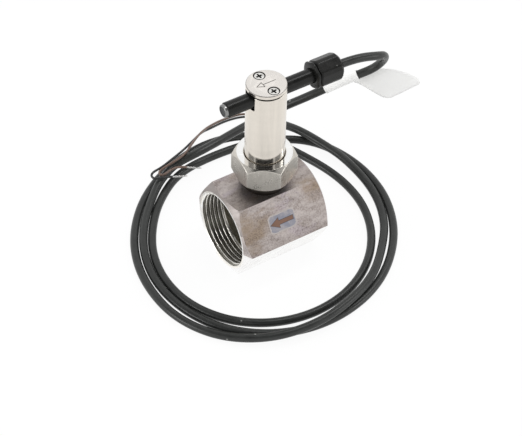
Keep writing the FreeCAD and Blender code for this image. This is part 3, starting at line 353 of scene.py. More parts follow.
def pair(tree, first, second):
    """Vector of two values."""
    made = add(tree, "ShaderNodeCombineXYZ")
    join(tree, first, made.inputs["X"])
    join(tree, second, made.inputs["Y"])
    return made.outputs["Vector"]


def noise(tree, vector, scale, detail, rough, twist=0.0):
    """Noise value over a vector, with its scale as a number or a socket."""
    made = add(tree, "ShaderNodeTexNoise", {"Detail": detail, "Roughness": rough, "Distortion": twist})
    join(tree, vector, made.inputs["Vector"])
    join(tree, scale, made.inputs["Scale"])
    return made.outputs["Fac"]


def cells(tree, vector, scale):
    """Outputs of scattered cells, for pits and dust."""
    made = add(tree, "ShaderNodeTexVoronoi", feature="F1")
    join(tree, vector, made.inputs["Vector"])
    join(tree, scale, made.inputs["Scale"])
    return made.outputs


def bar_steel_group():
    """Drawn and pickled steel: patches, heat tint, lilac cast, pits and speckle."""
    group, start, end = new_group("Bar steel", [
        ("Light", "NodeSocketColor", (0.5, 0.5, 0.5, 1.0)),
        ("Dark", "NodeSocketColor", (0.3, 0.3, 0.3, 1.0)),
        ("Tint", "NodeSocketColor", (0.3, 0.25, 0.2, 1.0)),
        ("Cast", "NodeSocketColor", (0.4, 0.37, 0.4, 1.0)),
        ("Scale", "NodeSocketFloat", 150.0),
        ("Stretch", "NodeSocketVector", (1.0, 1.0, 1.0)),
        ("Tint share", "NodeSocketFloat", 0.6),
        ("Cast share", "NodeSocketFloat", 0.0),
        ("Speckle", "NodeSocketFloat", 0.5),
        ("Smooth", "NodeSocketFloat", 0.3),
        ("Rough", "NodeSocketFloat", 0.5),
    ], [
        ("Color", "NodeSocketColor"),
        ("Roughness", "NodeSocketFloat"),
        ("Height", "NodeSocketFloat"),
    ])
    given = start.outputs
    scale = given["Scale"]
    place = on_piece(group)
    along = vector_math(group, "MULTIPLY", place, given["Stretch"])["Vector"]
    patches = noise(group, along, scale, detail=8.0, rough=0.72)
    colour = blend(group, ramp(group, patches, 0.36, 0.66), given["Light"], given["Dark"])
    bloom = noise(group, along, times(group, scale, 0.62), detail=5.0, rough=0.66)
    bloomed = times(group, ramp(group, bloom, 0.50, 0.62), given["Cast share"])
    colour = blend(group, bloomed, colour, given["Cast"])
    stain = noise(group, along, times(group, scale, 0.34), detail=6.0, rough=0.64)
    stained = times(group, ramp(group, stain, 0.42, 0.62), given["Tint share"])
    colour = blend(group, stained, colour, given["Tint"])
    fine = noise(group, place, times(group, scale, 8.0), detail=3.0, rough=0.7)
    spots = times(group, ramp(group, fine, 0.40, 0.66), given["Speckle"])
    share = spread(group, patches, 0.5, 1.0, low=0.40, high=0.60)
    spotted = times(group, spots, share)
    colour = blend(group, spotted, colour, (0.62, 0.60, 0.61, 1.0), "MULTIPLY")
    pits = ramp(group, cells(group, place, times(group, scale, 4.0))["Distance"], 0.26, 0.10)
    pitted = times(group, pits, ramp(group, patches, 0.48, 0.58))
    darkened = times(group, pitted, times(group, given["Speckle"], 0.8))
    colour = blend(group, darkened, colour, (0.42, 0.39, 0.40, 1.0), "MULTIPLY")
    join(group, colour, end.inputs["Color"])
    rough = spread(group, patches, given["Smooth"], given["Rough"], low=0.35, high=0.65)
    join(group, rough, end.inputs["Roughness"])
    join(group, reckon(group, "SUBTRACT", fine, pitted), end.inputs["Height"])
    return group


def turned_group():
    """Tool lines round an axis: rings on a face, bands along a barrel."""
    group, start, end = new_group("Turned lines", [
        ("Centre", "NodeSocketVector", (0.0, 0.0, 0.0)),
        ("Turn", "NodeSocketVector", (0.0, 0.0, 0.0)),
        ("Lines", "NodeSocketFloat", 6000.0),
    ], [
        ("Band", "NodeSocketFloat"),
        ("Height", "NodeSocketFloat"),
    ])
    lines = start.outputs["Lines"]
    axis = add(group, "ShaderNodeMapping", vector_type="TEXTURE")
    join(group, on_piece(group), axis.inputs["Vector"])
    join(group, start.outputs["Centre"], axis.inputs["Location"])
    join(group, start.outputs["Turn"], axis.inputs["Rotation"])
    parts = parts_of(group, axis.outputs["Vector"])
    radius = vector_math(group, "LENGTH", pair(group, parts["X"], parts["Y"]))["Value"]
    profile = pair(group, radius, parts["Z"])
    tool = noise(group, profile, lines, detail=3.0, rough=0.7)
    wide = noise(group, profile, times(group, lines, 0.08), detail=2.0, rough=0.5)
    mixed = add(group, "ShaderNodeMath", {1: 0.6}, operation="MULTIPLY_ADD")
    join(group, wide, mixed.inputs[0])
    join(group, times(group, tool, 0.4), mixed.inputs[2])
    join(group, mixed.outputs[0], end.inputs["Band"])
    join(group, tool, end.inputs["Height"])
    return group


def worn_edge_group():
    """Mask of rubbed outer edges, broken up so that no edge is even."""
    group, start, end = new_group("Worn edge", [
        ("Scale", "NodeSocketFloat", 300.0),
    ], [
        ("Mask", "NodeSocketFloat"),
    ])
    edge = ramp(group, add(group, "ShaderNodeNewGeometry").outputs["Pointiness"], 0.515, 0.60)
    broken = noise(group, on_piece(group), start.outputs["Scale"], detail=5.0, rough=0.7)
    join(group, times(group, edge, ramp(group, broken, 0.30, 0.62)), end.inputs["Mask"])
    return group


def moulded_group():
    """Fine spark-eroded grain of moulded plastic, with faint handling marks and dust."""
    group, start, end = new_group("Moulded grain", [
        ("Scale", "NodeSocketFloat", 2200.0),
    ], [
        ("Grain", "NodeSocketFloat"),
        ("Handling", "NodeSocketFloat"),
        ("Specks", "NodeSocketFloat"),
    ])
    scale = start.outputs["Scale"]
    place = on_piece(group)
    join(group, noise(group, place, scale, detail=3.0, rough=0.6), end.inputs["Grain"])
    marks = noise(group, place, times(group, scale, 0.06), detail=5.0, rough=0.65, twist=0.8)
    join(group, ramp(group, marks, 0.35, 0.70), end.inputs["Handling"])
    dust = cells(group, place, times(group, scale, 0.16))
    chance = add(group, "ShaderNodeSeparateColor")
    join(group, dust["Color"], chance.inputs["Color"])
    few = ramp(group, chance.outputs["Red"], 0.88, 0.90)
    speck = ramp(group, dust["Distance"], 0.14, 0.06)
    join(group, times(group, few, speck), end.inputs["Specks"])
    return group


def place_group(tree, name, **values):
    """The named group as a node of this tree, with its own values."""
    builders = {
        "Bar steel": bar_steel_group,
        "Turned lines": turned_group,
        "Worn edge": worn_edge_group,
        "Moulded grain": moulded_group,
    }
    made = tree.nodes.new("ShaderNodeGroup")
    made.node_tree = bpy.data.node_groups.get(name) or builders[name]()
    for key, amount in values.items():
        made.inputs[key.replace("_", " ").capitalize()].default_value = amount
    return made


def new_material(name, values):
    """Empty material with one principled shader whose plain sockets are set."""
    material = bpy.data.materials.new(name + FINISH)
    tree = empty_tree(material)
    output = add(tree, "ShaderNodeOutputMaterial")
    shader = add(tree, "ShaderNodeBsdfPrincipled", values)
    join(tree, shader.outputs["BSDF"], output.inputs["Surface"])
    return material, tree, shader


def add_bump(tree, shader, height, strength, depth):
    """Relief of a height socket on the shader's normal."""
    bump = add(tree, "ShaderNodeBump", {"Strength": strength, "Distance": depth})
    join(tree, height, bump.inputs["Height"])
    join(tree, bump.outputs["Normal"], shader.inputs["Normal"])


def lighter(colour, factor):
    """The same colour made lighter or darker."""
    return tuple(min(1.0, part * factor) for part in colour[:3]) + (1.0,)


def stain_mask(tree, stains, share):
    """Share of heat tint, raised round each listed stain and painted shade; each has its middle and reach
    in millimetres.
    """
    place = on_piece(tree)
    total = share
    for middle, reach in stains:
        away = vector_math(tree, "DISTANCE", place, [part * MM for part in middle])["Value"]
        near = ramp(tree, away, reach * MM, 0.25 * reach * MM)
        total = reckon(tree, "ADD", near, total, use_clamp=True)
    return total


def bar_steel(name, light, dark, tint, scale, stretch, tint_share, smooth, rough, edge=None, relief=0.25,
              cast=(0.4, 0.37, 0.4, 1.0), cast_share=0.0, stains=(), speckle=0.5):
    """Steel straight from the bar, with rubbed edges where an edge colour is given."""
    material, tree, shader = new_material(name, {"Metallic": 1.0})
    bar = place_group(
        tree, "Bar steel", light=light, dark=dark, tint=tint, cast=cast, scale=scale, stretch=stretch,
        tint_share=tint_share, cast_share=cast_share, smooth=smooth, rough=rough, speckle=speckle)
    colour = bar.outputs["Color"]
    if edge:
        worn = place_group(tree, "Worn edge", scale=scale * 2.0)
        colour = blend(tree, worn.outputs["Mask"], colour, edge)
    # The tint share is raised round each stain; round the neck this is painted shade.
    if stains:
        join(tree, stain_mask(tree, stains, tint_share), bar.inputs["Tint share"])
    join(tree, colour, shader.inputs["Base Color"])
    join(tree, bar.outputs["Roughness"], shader.inputs["Roughness"])
    add_bump(tree, shader, bar.outputs["Height"], relief, 0.06 * MM)
    return material


def turned_steel(name, axis, colour, shade, lines, smooth, rough, relief=0.2, rings=0.7, streaks=None):
    """Steel with tool lines round an axis and darker bands; streaks is the height where it is smoothest."""
    material, tree, shader = new_material(name, {"Metallic": 1.0})
    tool = place_group(tree, "Turned lines", lines=lines, **axis)
    worn = place_group(tree, "Worn edge", scale=500.0)
    place = on_piece(tree)
    squeeze, scale, share = (1.0, 1.0, 1.0), 130.0, 0.4
    if streaks:
        squeeze, scale, share = (1.0, 1.0, 0.05), 260.0, 1.0
    over = vector_math(tree, "MULTIPLY", place, squeeze)["Vector"]
    cloud = ramp(tree, noise(tree, over, scale, detail=4.0, rough=0.6, twist=0.5), 0.35, 0.70)
    bands = times(tree, ramp(tree, tool.outputs["Band"], 0.35, 0.68), rings)
    tone = blend(tree, times(tree, cloud, share), blend(tree, bands, colour, shade), shade)
    rubbed = blend(tree, worn.outputs["Mask"], tone, lighter(colour, 1.12))
    join(tree, rubbed, shader.inputs["Base Color"])
    gloss = spread(tree, tool.outputs["Band"], smooth, rough, low=0.3, high=0.7)
    if streaks:
        height = parts_of(tree, place)["Z"]
        gloss = times(tree, gloss, ramp(tree, height, streaks, streaks + 9.0 * MM, first=0.65))
    join(tree, gloss, shader.inputs["Roughness"])
    add_bump(tree, shader, tool.outputs["Height"], relief, 0.03 * MM)
    return material


def plastic(name, colour, pale, smooth, rough, scale=2200.0, relief=0.25, specks=0.5, sheen=0.5):
    """Moulded or extruded plastic with a fine grain, handling marks and a few specks of dust."""
    material, tree, shader = new_material(name, {
        "Metallic": 0.0, "IOR": 1.5, "Specular IOR Level": sheen})
    grain = place_group(tree, "Moulded grain", scale=scale)
    handling = grain.outputs["Handling"]
    tone = blend(tree, times(tree, handling, 0.6), colour, pale)
    dust = times(tree, grain.outputs["Specks"], specks)
    join(tree, blend(tree, dust, tone, (0.42, 0.42, 0.40, 1.0)), shader.inputs["Base Color"])
    join(tree, spread(tree, handling, smooth, rough), shader.inputs["Roughness"])
    add_bump(tree, shader, grain.outputs["Grain"], relief, 0.05 * MM)
    return material


def clear_glass(name):
    """Greenish capsule glass, slightly clouded."""
    material, tree, shader = new_material(name, {
        "Metallic": 0.0, "Transmission Weight": 1.0, "IOR": 1.5})
    cloud = noise(tree, on_piece(tree), 900.0, detail=3.0, rough=0.6)
    colour = blend(tree, cloud, (0.70, 0.86, 0.78, 1.0), (0.62, 0.78, 0.70, 1.0))
    join(tree, colour, shader.inputs["Base Color"])
    join(tree, spread(tree, cloud, 0.02, 0.10), shader.inputs["Roughness"])
    return material


# Finishes

# Heat stains on the tee, each a middle and a reach in millimetres; the last one, round the neck, is painted
# shade under the union nut in the heat tint's brown.
TEE_STAINS = (
    ((-18.0, -16.0, 40.0), 15.0), ((-20.0, -22.0, 29.0), 10.0), ((20.0, -16.0, 44.0), 10.0),
    ((0.0, 0.0, 46.0), 24.0),
)
EVEN = (1.0, 1.0, 1.0)
ALONG_X = (0.0, math.radians(90.0), 0.0)
PIPE_AXIS = {"centre": (0.0, 0.0, BORE_HEIGHT), "turn": ALONG_X}
TUBE_AXIS = {"centre": (0.0, 0.0, TUBE_HEIGHT), "turn": ALONG_X}
HOUSING_AXIS = {"centre": (0.0, 0.0, 0.0), "turn": (0.0, 0.0, 0.0)}


def bar_finishes(tone):
    """Values of the finishes that keep the surface of the bar or sheet."""
    tee = tuple(tone.tee)
    nut = tuple(tone.nut)
    nut_dark = tuple(tone.nut_dark)
    return {
        "tee_flats": dict(
            light=tee, dark=tuple(tone.tee_dark), tint=tuple(tone.tee_tint), cast=tuple(tone.tee_cast),
            scale=170.0, stretch=(0.5, 1.0, 1.0), tint_share=0.12, cast_share=0.7, smooth=0.36, rough=0.52,
            relief=0.5, stains=TEE_STAINS, speckle=1.0),
        # Lighter copy of the tee steel for the broken edges and for cone faces that face sideways: painted
        # highlight.
        "tee_edge": dict(
            light=lighter(tee, 1.35), dark=lighter(tee, 1.1), tint=lighter(tee, 1.2),
            scale=400.0, stretch=EVEN, tint_share=0.3, smooth=0.32, rough=0.46, relief=0.3),
        # Downward faces of the tee: a near-white copy of the tee steel, painted reflection of the white
        # floor.
        "tee_under": dict(
            light=(1.0, 1.0, 0.99, 1.0), dark=(0.97, 0.965, 0.955, 1.0), tint=(0.95, 0.94, 0.92, 1.0),
            scale=170.0, stretch=(0.8, 1.0, 1.0), tint_share=0.4, smooth=0.14, rough=0.24, relief=0.1),
        "nut_flats": dict(
            light=nut, dark=nut_dark, tint=lighter(nut_dark, 0.9), edge=(0.84, 0.83, 0.80, 1.0),
            scale=260.0, stretch=(1.0, 1.0, 0.6), tint_share=0.3, smooth=0.22, rough=0.38, relief=0.2,
            speckle=0.06),
        # Lighter copy of the nut steel for the broken edges: painted highlight lines at the facet borders.
        "nut_edge": dict(
            light=lighter(nut, 1.08), dark=lighter(nut, 0.92), tint=lighter(nut, 0.86),
            scale=400.0, stretch=EVEN, tint_share=0.3, smooth=0.26, rough=0.40, relief=0.2),
        "lever_steel": dict(
            light=(0.60, 0.60, 0.58, 1.0), dark=(0.48, 0.48, 0.46, 1.0), tint=(0.42, 0.40, 0.36, 1.0),
            edge=(0.76, 0.76, 0.74, 1.0),
            scale=300.0, stretch=(1.0, 1.0, 0.4), tint_share=0.3, smooth=0.25, rough=0.40),
        "blade_steel": dict(
            light=(0.68, 0.68, 0.66, 1.0), dark=(0.57, 0.57, 0.55, 1.0), tint=(0.52, 0.50, 0.46, 1.0),
            edge=(0.80, 0.80, 0.78, 1.0),
            scale=220.0, stretch=(1.0, 0.3, 1.0), tint_share=0.25, smooth=0.22, rough=0.36),
        "reed_metal": dict(
            light=(0.70, 0.69, 0.66, 1.0), dark=(0.60, 0.59, 0.56, 1.0), tint=(0.56, 0.54, 0.50, 1.0),
            edge=(0.82, 0.81, 0.79, 1.0),
            scale=500.0, stretch=(0.4, 1.0, 1.0), tint_share=0.2, smooth=0.2, rough=0.34),
        "magnet_dark": dict(
            light=(0.16, 0.16, 0.165, 1.0), dark=(0.10, 0.10, 0.10, 1.0), tint=(0.12, 0.11, 0.10, 1.0),
            edge=(0.30, 0.30, 0.31, 1.0),
            scale=600.0, stretch=EVEN, tint_share=0.3, smooth=0.42, rough=0.60),
        "wire_tinned": dict(
            light=(0.74, 0.74, 0.73, 1.0), dark=(0.60, 0.60, 0.59, 1.0), tint=(0.58, 0.46, 0.36, 1.0),
            edge=(0.86, 0.86, 0.85, 1.0),
            scale=900.0, stretch=EVEN, tint_share=0.4, smooth=0.24, rough=0.40),
    }


def turned_finishes(tone):
    """Values of the finishes with tool lines."""
    tee = tuple(tone.tee)
    nut = tuple(tone.nut)
    cap = tuple(tone.cap)
    steel = tuple(tone.bright_steel)
    housing = tuple(tone.housing)
    return {
        # Darker copy of the tee steel for cone faces that face up: painted shade.
        "tee_cone": dict(
            axis=PIPE_AXIS, colour=lighter(tee, 0.66), shade=lighter(tone.tee_dark, 0.68),
            lines=3600.0, smooth=0.30, rough=0.44),
        "tee_ends": dict(
            axis=PIPE_AXIS, colour=lighter(steel, 1.5), shade=lighter(steel, 1.35),
            lines=5200.0, smooth=0.38, rough=0.50),
        "tee_thread": dict(
            axis=PIPE_AXIS, colour=lighter(steel, 1.15), shade=lighter(steel, 0.75),
            lines=4200.0, smooth=0.14, rough=0.28),
        # Darker steel for the thread's roots: painted shade in the grooves.
        "tee_root": dict(
            axis=PIPE_AXIS, colour=(0.40, 0.39, 0.345, 1.0), shade=(0.25, 0.24, 0.21, 1.0),
            lines=4200.0, smooth=0.30, rough=0.46),
        "tee_bore": dict(
            axis=PIPE_AXIS, colour=(0.38, 0.355, 0.295, 1.0), shade=(0.20, 0.185, 0.15, 1.0),
            lines=2600.0, smooth=0.30, rough=0.48),
        # Near-black steel for the whole neck: painted shade under the union nut.
        "neck_thread": dict(
            axis=HOUSING_AXIS, colour=(0.048, 0.042, 0.036, 1.0), shade=(0.03, 0.026, 0.022, 1.0),
            lines=4200.0, smooth=0.40, rough=0.56),
        "nut_cone": dict(
            axis=HOUSING_AXIS, colour=lighter(nut, 1.15), shade=lighter(nut, 0.9),
            lines=5000.0, smooth=0.20, rough=0.34),
        "nut_face": dict(
            axis=HOUSING_AXIS, colour=(0.92, 0.92, 0.91, 1.0), shade=(0.82, 0.82, 0.81, 1.0),
            lines=7000.0, smooth=0.08, rough=0.14, relief=0.03),
        "housing_steel": dict(
            axis=HOUSING_AXIS, colour=housing, shade=lighter(housing, 0.93),
            lines=5000.0, smooth=0.17, rough=0.28, relief=0.05, rings=0.2, streaks=NUT_HIGH.z + 1.0 * MM),
        "cap_steel": dict(
            axis=HOUSING_AXIS, colour=cap, shade=lighter(cap, 0.92),
            lines=5200.0, smooth=0.20, rough=0.32, relief=0.08),
        # Much darker copy of the cap steel for the rounded rim: a painted dark reflection line.
        "cap_rim": dict(
            axis=HOUSING_AXIS, colour=lighter(cap, 0.46), shade=lighter(cap, 0.40),
            lines=5200.0, smooth=0.36, rough=0.50, relief=0.08),
        "engraving": dict(
            axis=HOUSING_AXIS, colour=(0.27, 0.245, 0.225, 1.0), shade=(0.18, 0.165, 0.15, 1.0),
            lines=5200.0, smooth=0.45, rough=0.60),
        # Near-black steel for the seam groove, countersinks, screw-head rims and cross recesses: painted
        # shade.
        "recess_dark": dict(
            axis=HOUSING_AXIS, colour=(0.045, 0.042, 0.04, 1.0), shade=(0.025, 0.024, 0.022, 1.0),
            lines=5200.0, smooth=0.50, rough=0.66),
        "screw_steel": dict(
            axis=HOUSING_AXIS, colour=(0.80, 0.79, 0.76, 1.0), shade=(0.62, 0.61, 0.58, 1.0),
            lines=7000.0, smooth=0.18, rough=0.32),
        # Lighter metal for the plug's rim, chamfer and side: painted highlight on the grey plug.
        "plug_rim": dict(
            axis=TUBE_AXIS, colour=(0.30, 0.30, 0.295, 1.0), shade=(0.22, 0.22, 0.215, 1.0),
            lines=7000.0, smooth=0.18, rough=0.30),
    }


def plastic_finishes(tone):
    """Values of the finishes of plastic, rubber and printed film."""
    tee = tuple(tone.tee)
    black = tuple(tone.black_plastic)
    sheath = tuple(tone.sheath)
    brown = tuple(tone.brown_wire)
    wire = tuple(tone.black_wire)
    label = tuple(tone.label)
    arrow = tuple(tone.arrow)
    return {
        "bearing_bush": dict(
            colour=(0.80, 0.77, 0.68, 1.0), pale=(0.70, 0.66, 0.56, 1.0), smooth=0.36, rough=0.50,
            specks=0.0),
        "tube_black": dict(
            colour=black, pale=lighter(black, 1.6), smooth=0.22, rough=0.32,
            scale=1800.0, relief=0.10, sheen=0.26),
        "gland_black": dict(
            colour=lighter(black, 1.1), pale=lighter(black, 1.8), smooth=0.26, rough=0.36,
            scale=2400.0, relief=0.20, sheen=0.26),
        "resin_black": dict(
            colour=lighter(black, 0.8), pale=lighter(black, 1.4), smooth=0.20, rough=0.40),
        "plug_grey": dict(
            colour=(0.024, 0.025, 0.026, 1.0), pale=(0.045, 0.046, 0.048, 1.0), smooth=0.36, rough=0.52,
            scale=2600.0, relief=0.20, sheen=0.24),
        "seal_rubber": dict(
            colour=(0.018, 0.018, 0.018, 1.0), pale=(0.035, 0.035, 0.034, 1.0), smooth=0.60, rough=0.78,
            scale=1600.0, relief=0.35),
        "cable_black": dict(
            colour=sheath, pale=lighter(sheath, 1.7), smooth=0.28, rough=0.40,
            scale=1500.0, relief=0.16, specks=0.7, sheen=0.34),
        "wire_brown": dict(
            colour=brown, pale=lighter(brown, 1.4), smooth=0.28, rough=0.42,
            scale=2600.0, relief=0.12, specks=0.3),
        "wire_black": dict(
            colour=wire, pale=lighter(wire, 1.6), smooth=0.28, rough=0.42,
            scale=2600.0, relief=0.12, specks=0.3),
        "label_white": dict(
            colour=label, pale=lighter(label, 0.95), smooth=0.30, rough=0.44,
            scale=520.0, relief=0.30, specks=0.0),
        "flow_sticker": dict(
            colour=tuple(tone.sticker), pale=lighter(tee, 0.78), smooth=0.40, rough=0.56,
            scale=3600.0, relief=0.20, specks=0.3),
        "sticker_rim": dict(
            colour=lighter(tee, 0.80), pale=lighter(tee, 0.62), smooth=0.36, rough=0.52,
            scale=3600.0, relief=0.20, specks=0.3),
        "flow_arrow": dict(
            colour=arrow, pale=lighter(arrow, 0.70), smooth=0.42, rough=0.58,
            scale=1400.0, relief=0.20, specks=0.1),
        "arrow_line": dict(
            colour=(0.06, 0.045, 0.045, 1.0), pale=(0.12, 0.09, 0.085, 1.0), smooth=0.45, rough=0.60,
            scale=1400.0, relief=0.20, specks=0.1),
    }


def make_finish(name):
    """The named finish, built from this scene's colours."""
    tone = bpy.context.scene.flow_switch_colours
    for build, values in (
        (bar_steel, bar_finishes(tone)),
        (turned_steel, turned_finishes(tone)),
        (plastic, plastic_finishes(tone)),
        (clear_glass, {"reed_glass": {}}),
    ):
        if name in values:
            return build(name, **values[name])
    raise ValueError(f"no finish is named {name}")


def finish(name):
    """The named finish, made once."""
    return bpy.data.materials.get(name + FINISH) or make_finish(name)


def wear(node, name):
    """Gives a carried-over solid its finish."""
    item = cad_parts[node]
    if not item.material_slots:
        item.data.materials.append(None)
    for slot in item.material_slots:
        slot.material = finish(name)


# Shapes


def new_mesh(name, bm, finishes=()):
    """Mesh of a shape, which is freed, with its finishes."""
    mesh = bpy.data.meshes.new(name)
    bm.to_mesh(mesh)
    bm.free()
    for material in finishes:
        mesh.materials.append(material)
    return mesh


def new_object(name, data):
    """New object in the scene."""
    made = bpy.data.objects.new(name, data)
    bpy.context.scene.collection.objects.link(made)
    return made


def standing(depth):
    """Function that gives points round an upright axis so far back."""
    def place(height, radius, angle):
        return Vector((radius * math.cos(angle), depth + radius * math.sin(angle), height))
    return place


def lying(height):
    """Function that gives points round an axis along x at that height; angle 0 is to the back."""
    def place(along, radius, angle):
        return Vector((along, radius * math.cos(angle), height + radius * math.sin(angle)))
    return place


round_housing = standing(0.0)
round_pipe = lying(BORE_HEIGHT)
round_tube = lying(TUBE_HEIGHT)


def hexagon(flat, corner_at, angle):
    """Distance from a hexagon bar's axis to its outside at an angle."""
    turn = (angle - corner_at) % (2 * HALF_FLAT) - HALF_FLAT
    return flat / math.cos(turn)


def even_angles(count=COLUMNS):
    """Angles that divide a full turn."""
    return [math.tau * step / count for step in range(count)]


def ring(place, height, radius, angles=None):
    """Points round an axis; height and radius are numbers, or functions of the angle."""
    points = []
    for angle in angles or even_angles():
        level = height(angle) if callable(height) else height
        reach = radius(angle) if callable(radius) else radius
        points.append(place(level, reach, angle))
    return points


def skin(bm, rings, finishes, closed=False, capped=False):
    """Faces between rings of points; finishes gives each strip's material index."""
    rows = [[bm.verts.new(point) for point in points] for points in rings]
    pairs = list(zip(rows, rows[1:]))
    if closed:
        pairs.append((rows[-1], rows[0]))
    for strip, (first, second) in enumerate(pairs):
        index = finishes[strip] if strip < len(finishes) else finishes[-1]
        for side in range(len(first)):
            after = (side + 1) % len(first)
            face = bm.faces.new((first[side], first[after], second[after], second[side]))
            face.material_index = index
    if capped:
        bm.faces.new(rows[0]).material_index = finishes[0]
        bm.faces.new(rows[-1]).material_index = finishes[-1]
    return rows


def turned(place, rows, finishes=(0,), angles=None, closed=False, capped=False):
    """New shape from a profile of heights and radii that goes round an axis."""
    bm = bmesh.new()
    skin(bm, [ring(place, level, reach, angles) for level, reach in rows], finishes, closed, capped)
    return bm


def prism(bm, points, drop, index=0):
    """Closed block from an outline and the vector that it is drawn along."""
    first = [bm.verts.new(point) for point in points]
    second = [bm.verts.new(Vector(point) + Vector(drop)) for point in points]
    faces = [bm.faces.new(first), bm.faces.new(second)]
    for side in range(len(points)):
        after = (side + 1) % len(points)
        faces.append(bm.faces.new((first[side], first[after], second[after], second[side])))
    for face in faces:
        face.material_index = index
    return faces


def carve(bm, cutters, finishes):
    """Cuts shapes out of a shape; the cut faces keep the cutters' material index."""
    made = []
    for part in [bm] + cutters:
        bmesh.ops.recalc_face_normals(part, faces=part.faces)
        made.append(new_object("carving", new_mesh("carving", part, finishes)))
    for cutter in made[1:]:
        tool = made[0].modifiers.new("cut", "BOOLEAN")
        tool.operation = "DIFFERENCE"
        tool.solver = "EXACT"
        tool.object = cutter
    graph = bpy.context.evaluated_depsgraph_get()
    result = bpy.data.meshes.new_from_object(made[0].evaluated_get(graph))
    carved = bmesh.new()
    carved.from_mesh(result)
    for item in made:
        mesh = item.data
        bpy.data.objects.remove(item)
        bpy.data.meshes.remove(mesh)
    bpy.data.meshes.remove(result)
    if not carved.faces:
        raise RuntimeError("nothing is left of a carved shape")
    bmesh.ops.remove_doubles(carved, verts=carved.verts, dist=0.002 * MM)
    return carved


def to_piece(name, bm, finishes, body, nodes=(), rounding=0.0, soft=(), limit=28.0, fine=(),
             edge_index=-1):
    """Turns a shape into a piece with broken edges.

    Edges between soft finishes stay smooth, those beside a fine finish get a narrower break, limit is the
    angle in degrees from which an edge is broken, and edge_index is the finish of the breaks."""
    bmesh.ops.recalc_face_normals(bm, faces=bm.faces)
    weight = bm.edges.layers.float.new("bevel_weight_edge")
    for face in bm.faces:
        face.smooth = True
    for edge in bm.edges:
        if len(edge.link_faces) != 2:
            continue
        if all(face.material_index in soft for face in edge.link_faces):
            continue
        if edge.calc_face_angle(0.0) > math.radians(limit):
            if rounding:
                thin = any(face.material_index in fine for face in edge.link_faces)
                edge[weight] = 0.3 if thin else 1.0
            else:
                edge.smooth = False
    piece = new_object(name, new_mesh(name, bm, finishes))
    if rounding:
        broken = piece.modifiers.new("broken edges", "BEVEL")
        broken.limit_method = "WEIGHT"
        broken.width = rounding
        broken.segments = 2
        broken.material = edge_index
        broken.harden_normals = True
    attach(piece, body)
    if nodes:
        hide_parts(*nodes)
    return piece


def thread_wave(phase):
    """Depth of a rounded thread, from 0 at one crest to 1 at the root and back."""
    wave = 1.0 - abs(2.0 * (phase % 1.0) - 1.0)
    return min(1.0, max(0.0, wave * 1.7 - 0.1))


# Pieces


def draw_cord(name, points, diameter, material):
    """Curve of one open spline whose control points are the route's points."""
    curve = bpy.data.curves.new(name, "CURVE")
    curve.dimensions = "3D"
    spline = curve.splines.new("NURBS")
    spline.points.add(len(points) - 1)
    for knot, (across, along, up) in zip(spline.points, points):
        knot.co = (across * MM, along * MM, up * MM, 1.0)
    spline.order_u = 3
    spline.use_endpoint_u = True
    spline.resolution_u = 10
    curve.bevel_depth = diameter / 2
    curve.bevel_resolution = 6
    curve.use_fill_caps = True
    curve.materials.append(material)
    return new_object(name, curve)


def read_centreline(cord):
    """Points along a cord, read from its spline with no thickness."""
    bare = cord.data.copy()
    bare.bevel_depth = 0.0
    item = new_object("centreline", bare)
    graph = bpy.context.evaluated_depsgraph_get()
    mesh = bpy.data.meshes.new_from_object(item.evaluated_get(graph))
    points = [vertex.co.copy() for vertex in mesh.vertices]
    bpy.data.objects.remove(item)
    bpy.data.curves.remove(bare)
    bpy.data.meshes.remove(mesh)
    return points


def line_length(points):
    """Length of the line through the points."""
    return sum((after - before).length for before, after in zip(points, points[1:]))


def coil_points():
    """Control points of the coil's turns, in millimetres."""
    points = []
    for step, (reach, height) in enumerate(FIRST_TURN + SECOND_TURN + THIRD_TURN):
        angle = math.radians(COIL_START + COIL_STEP * step)
        points.append((reach * math.cos(angle), reach * math.sin(angle), height))
    return points


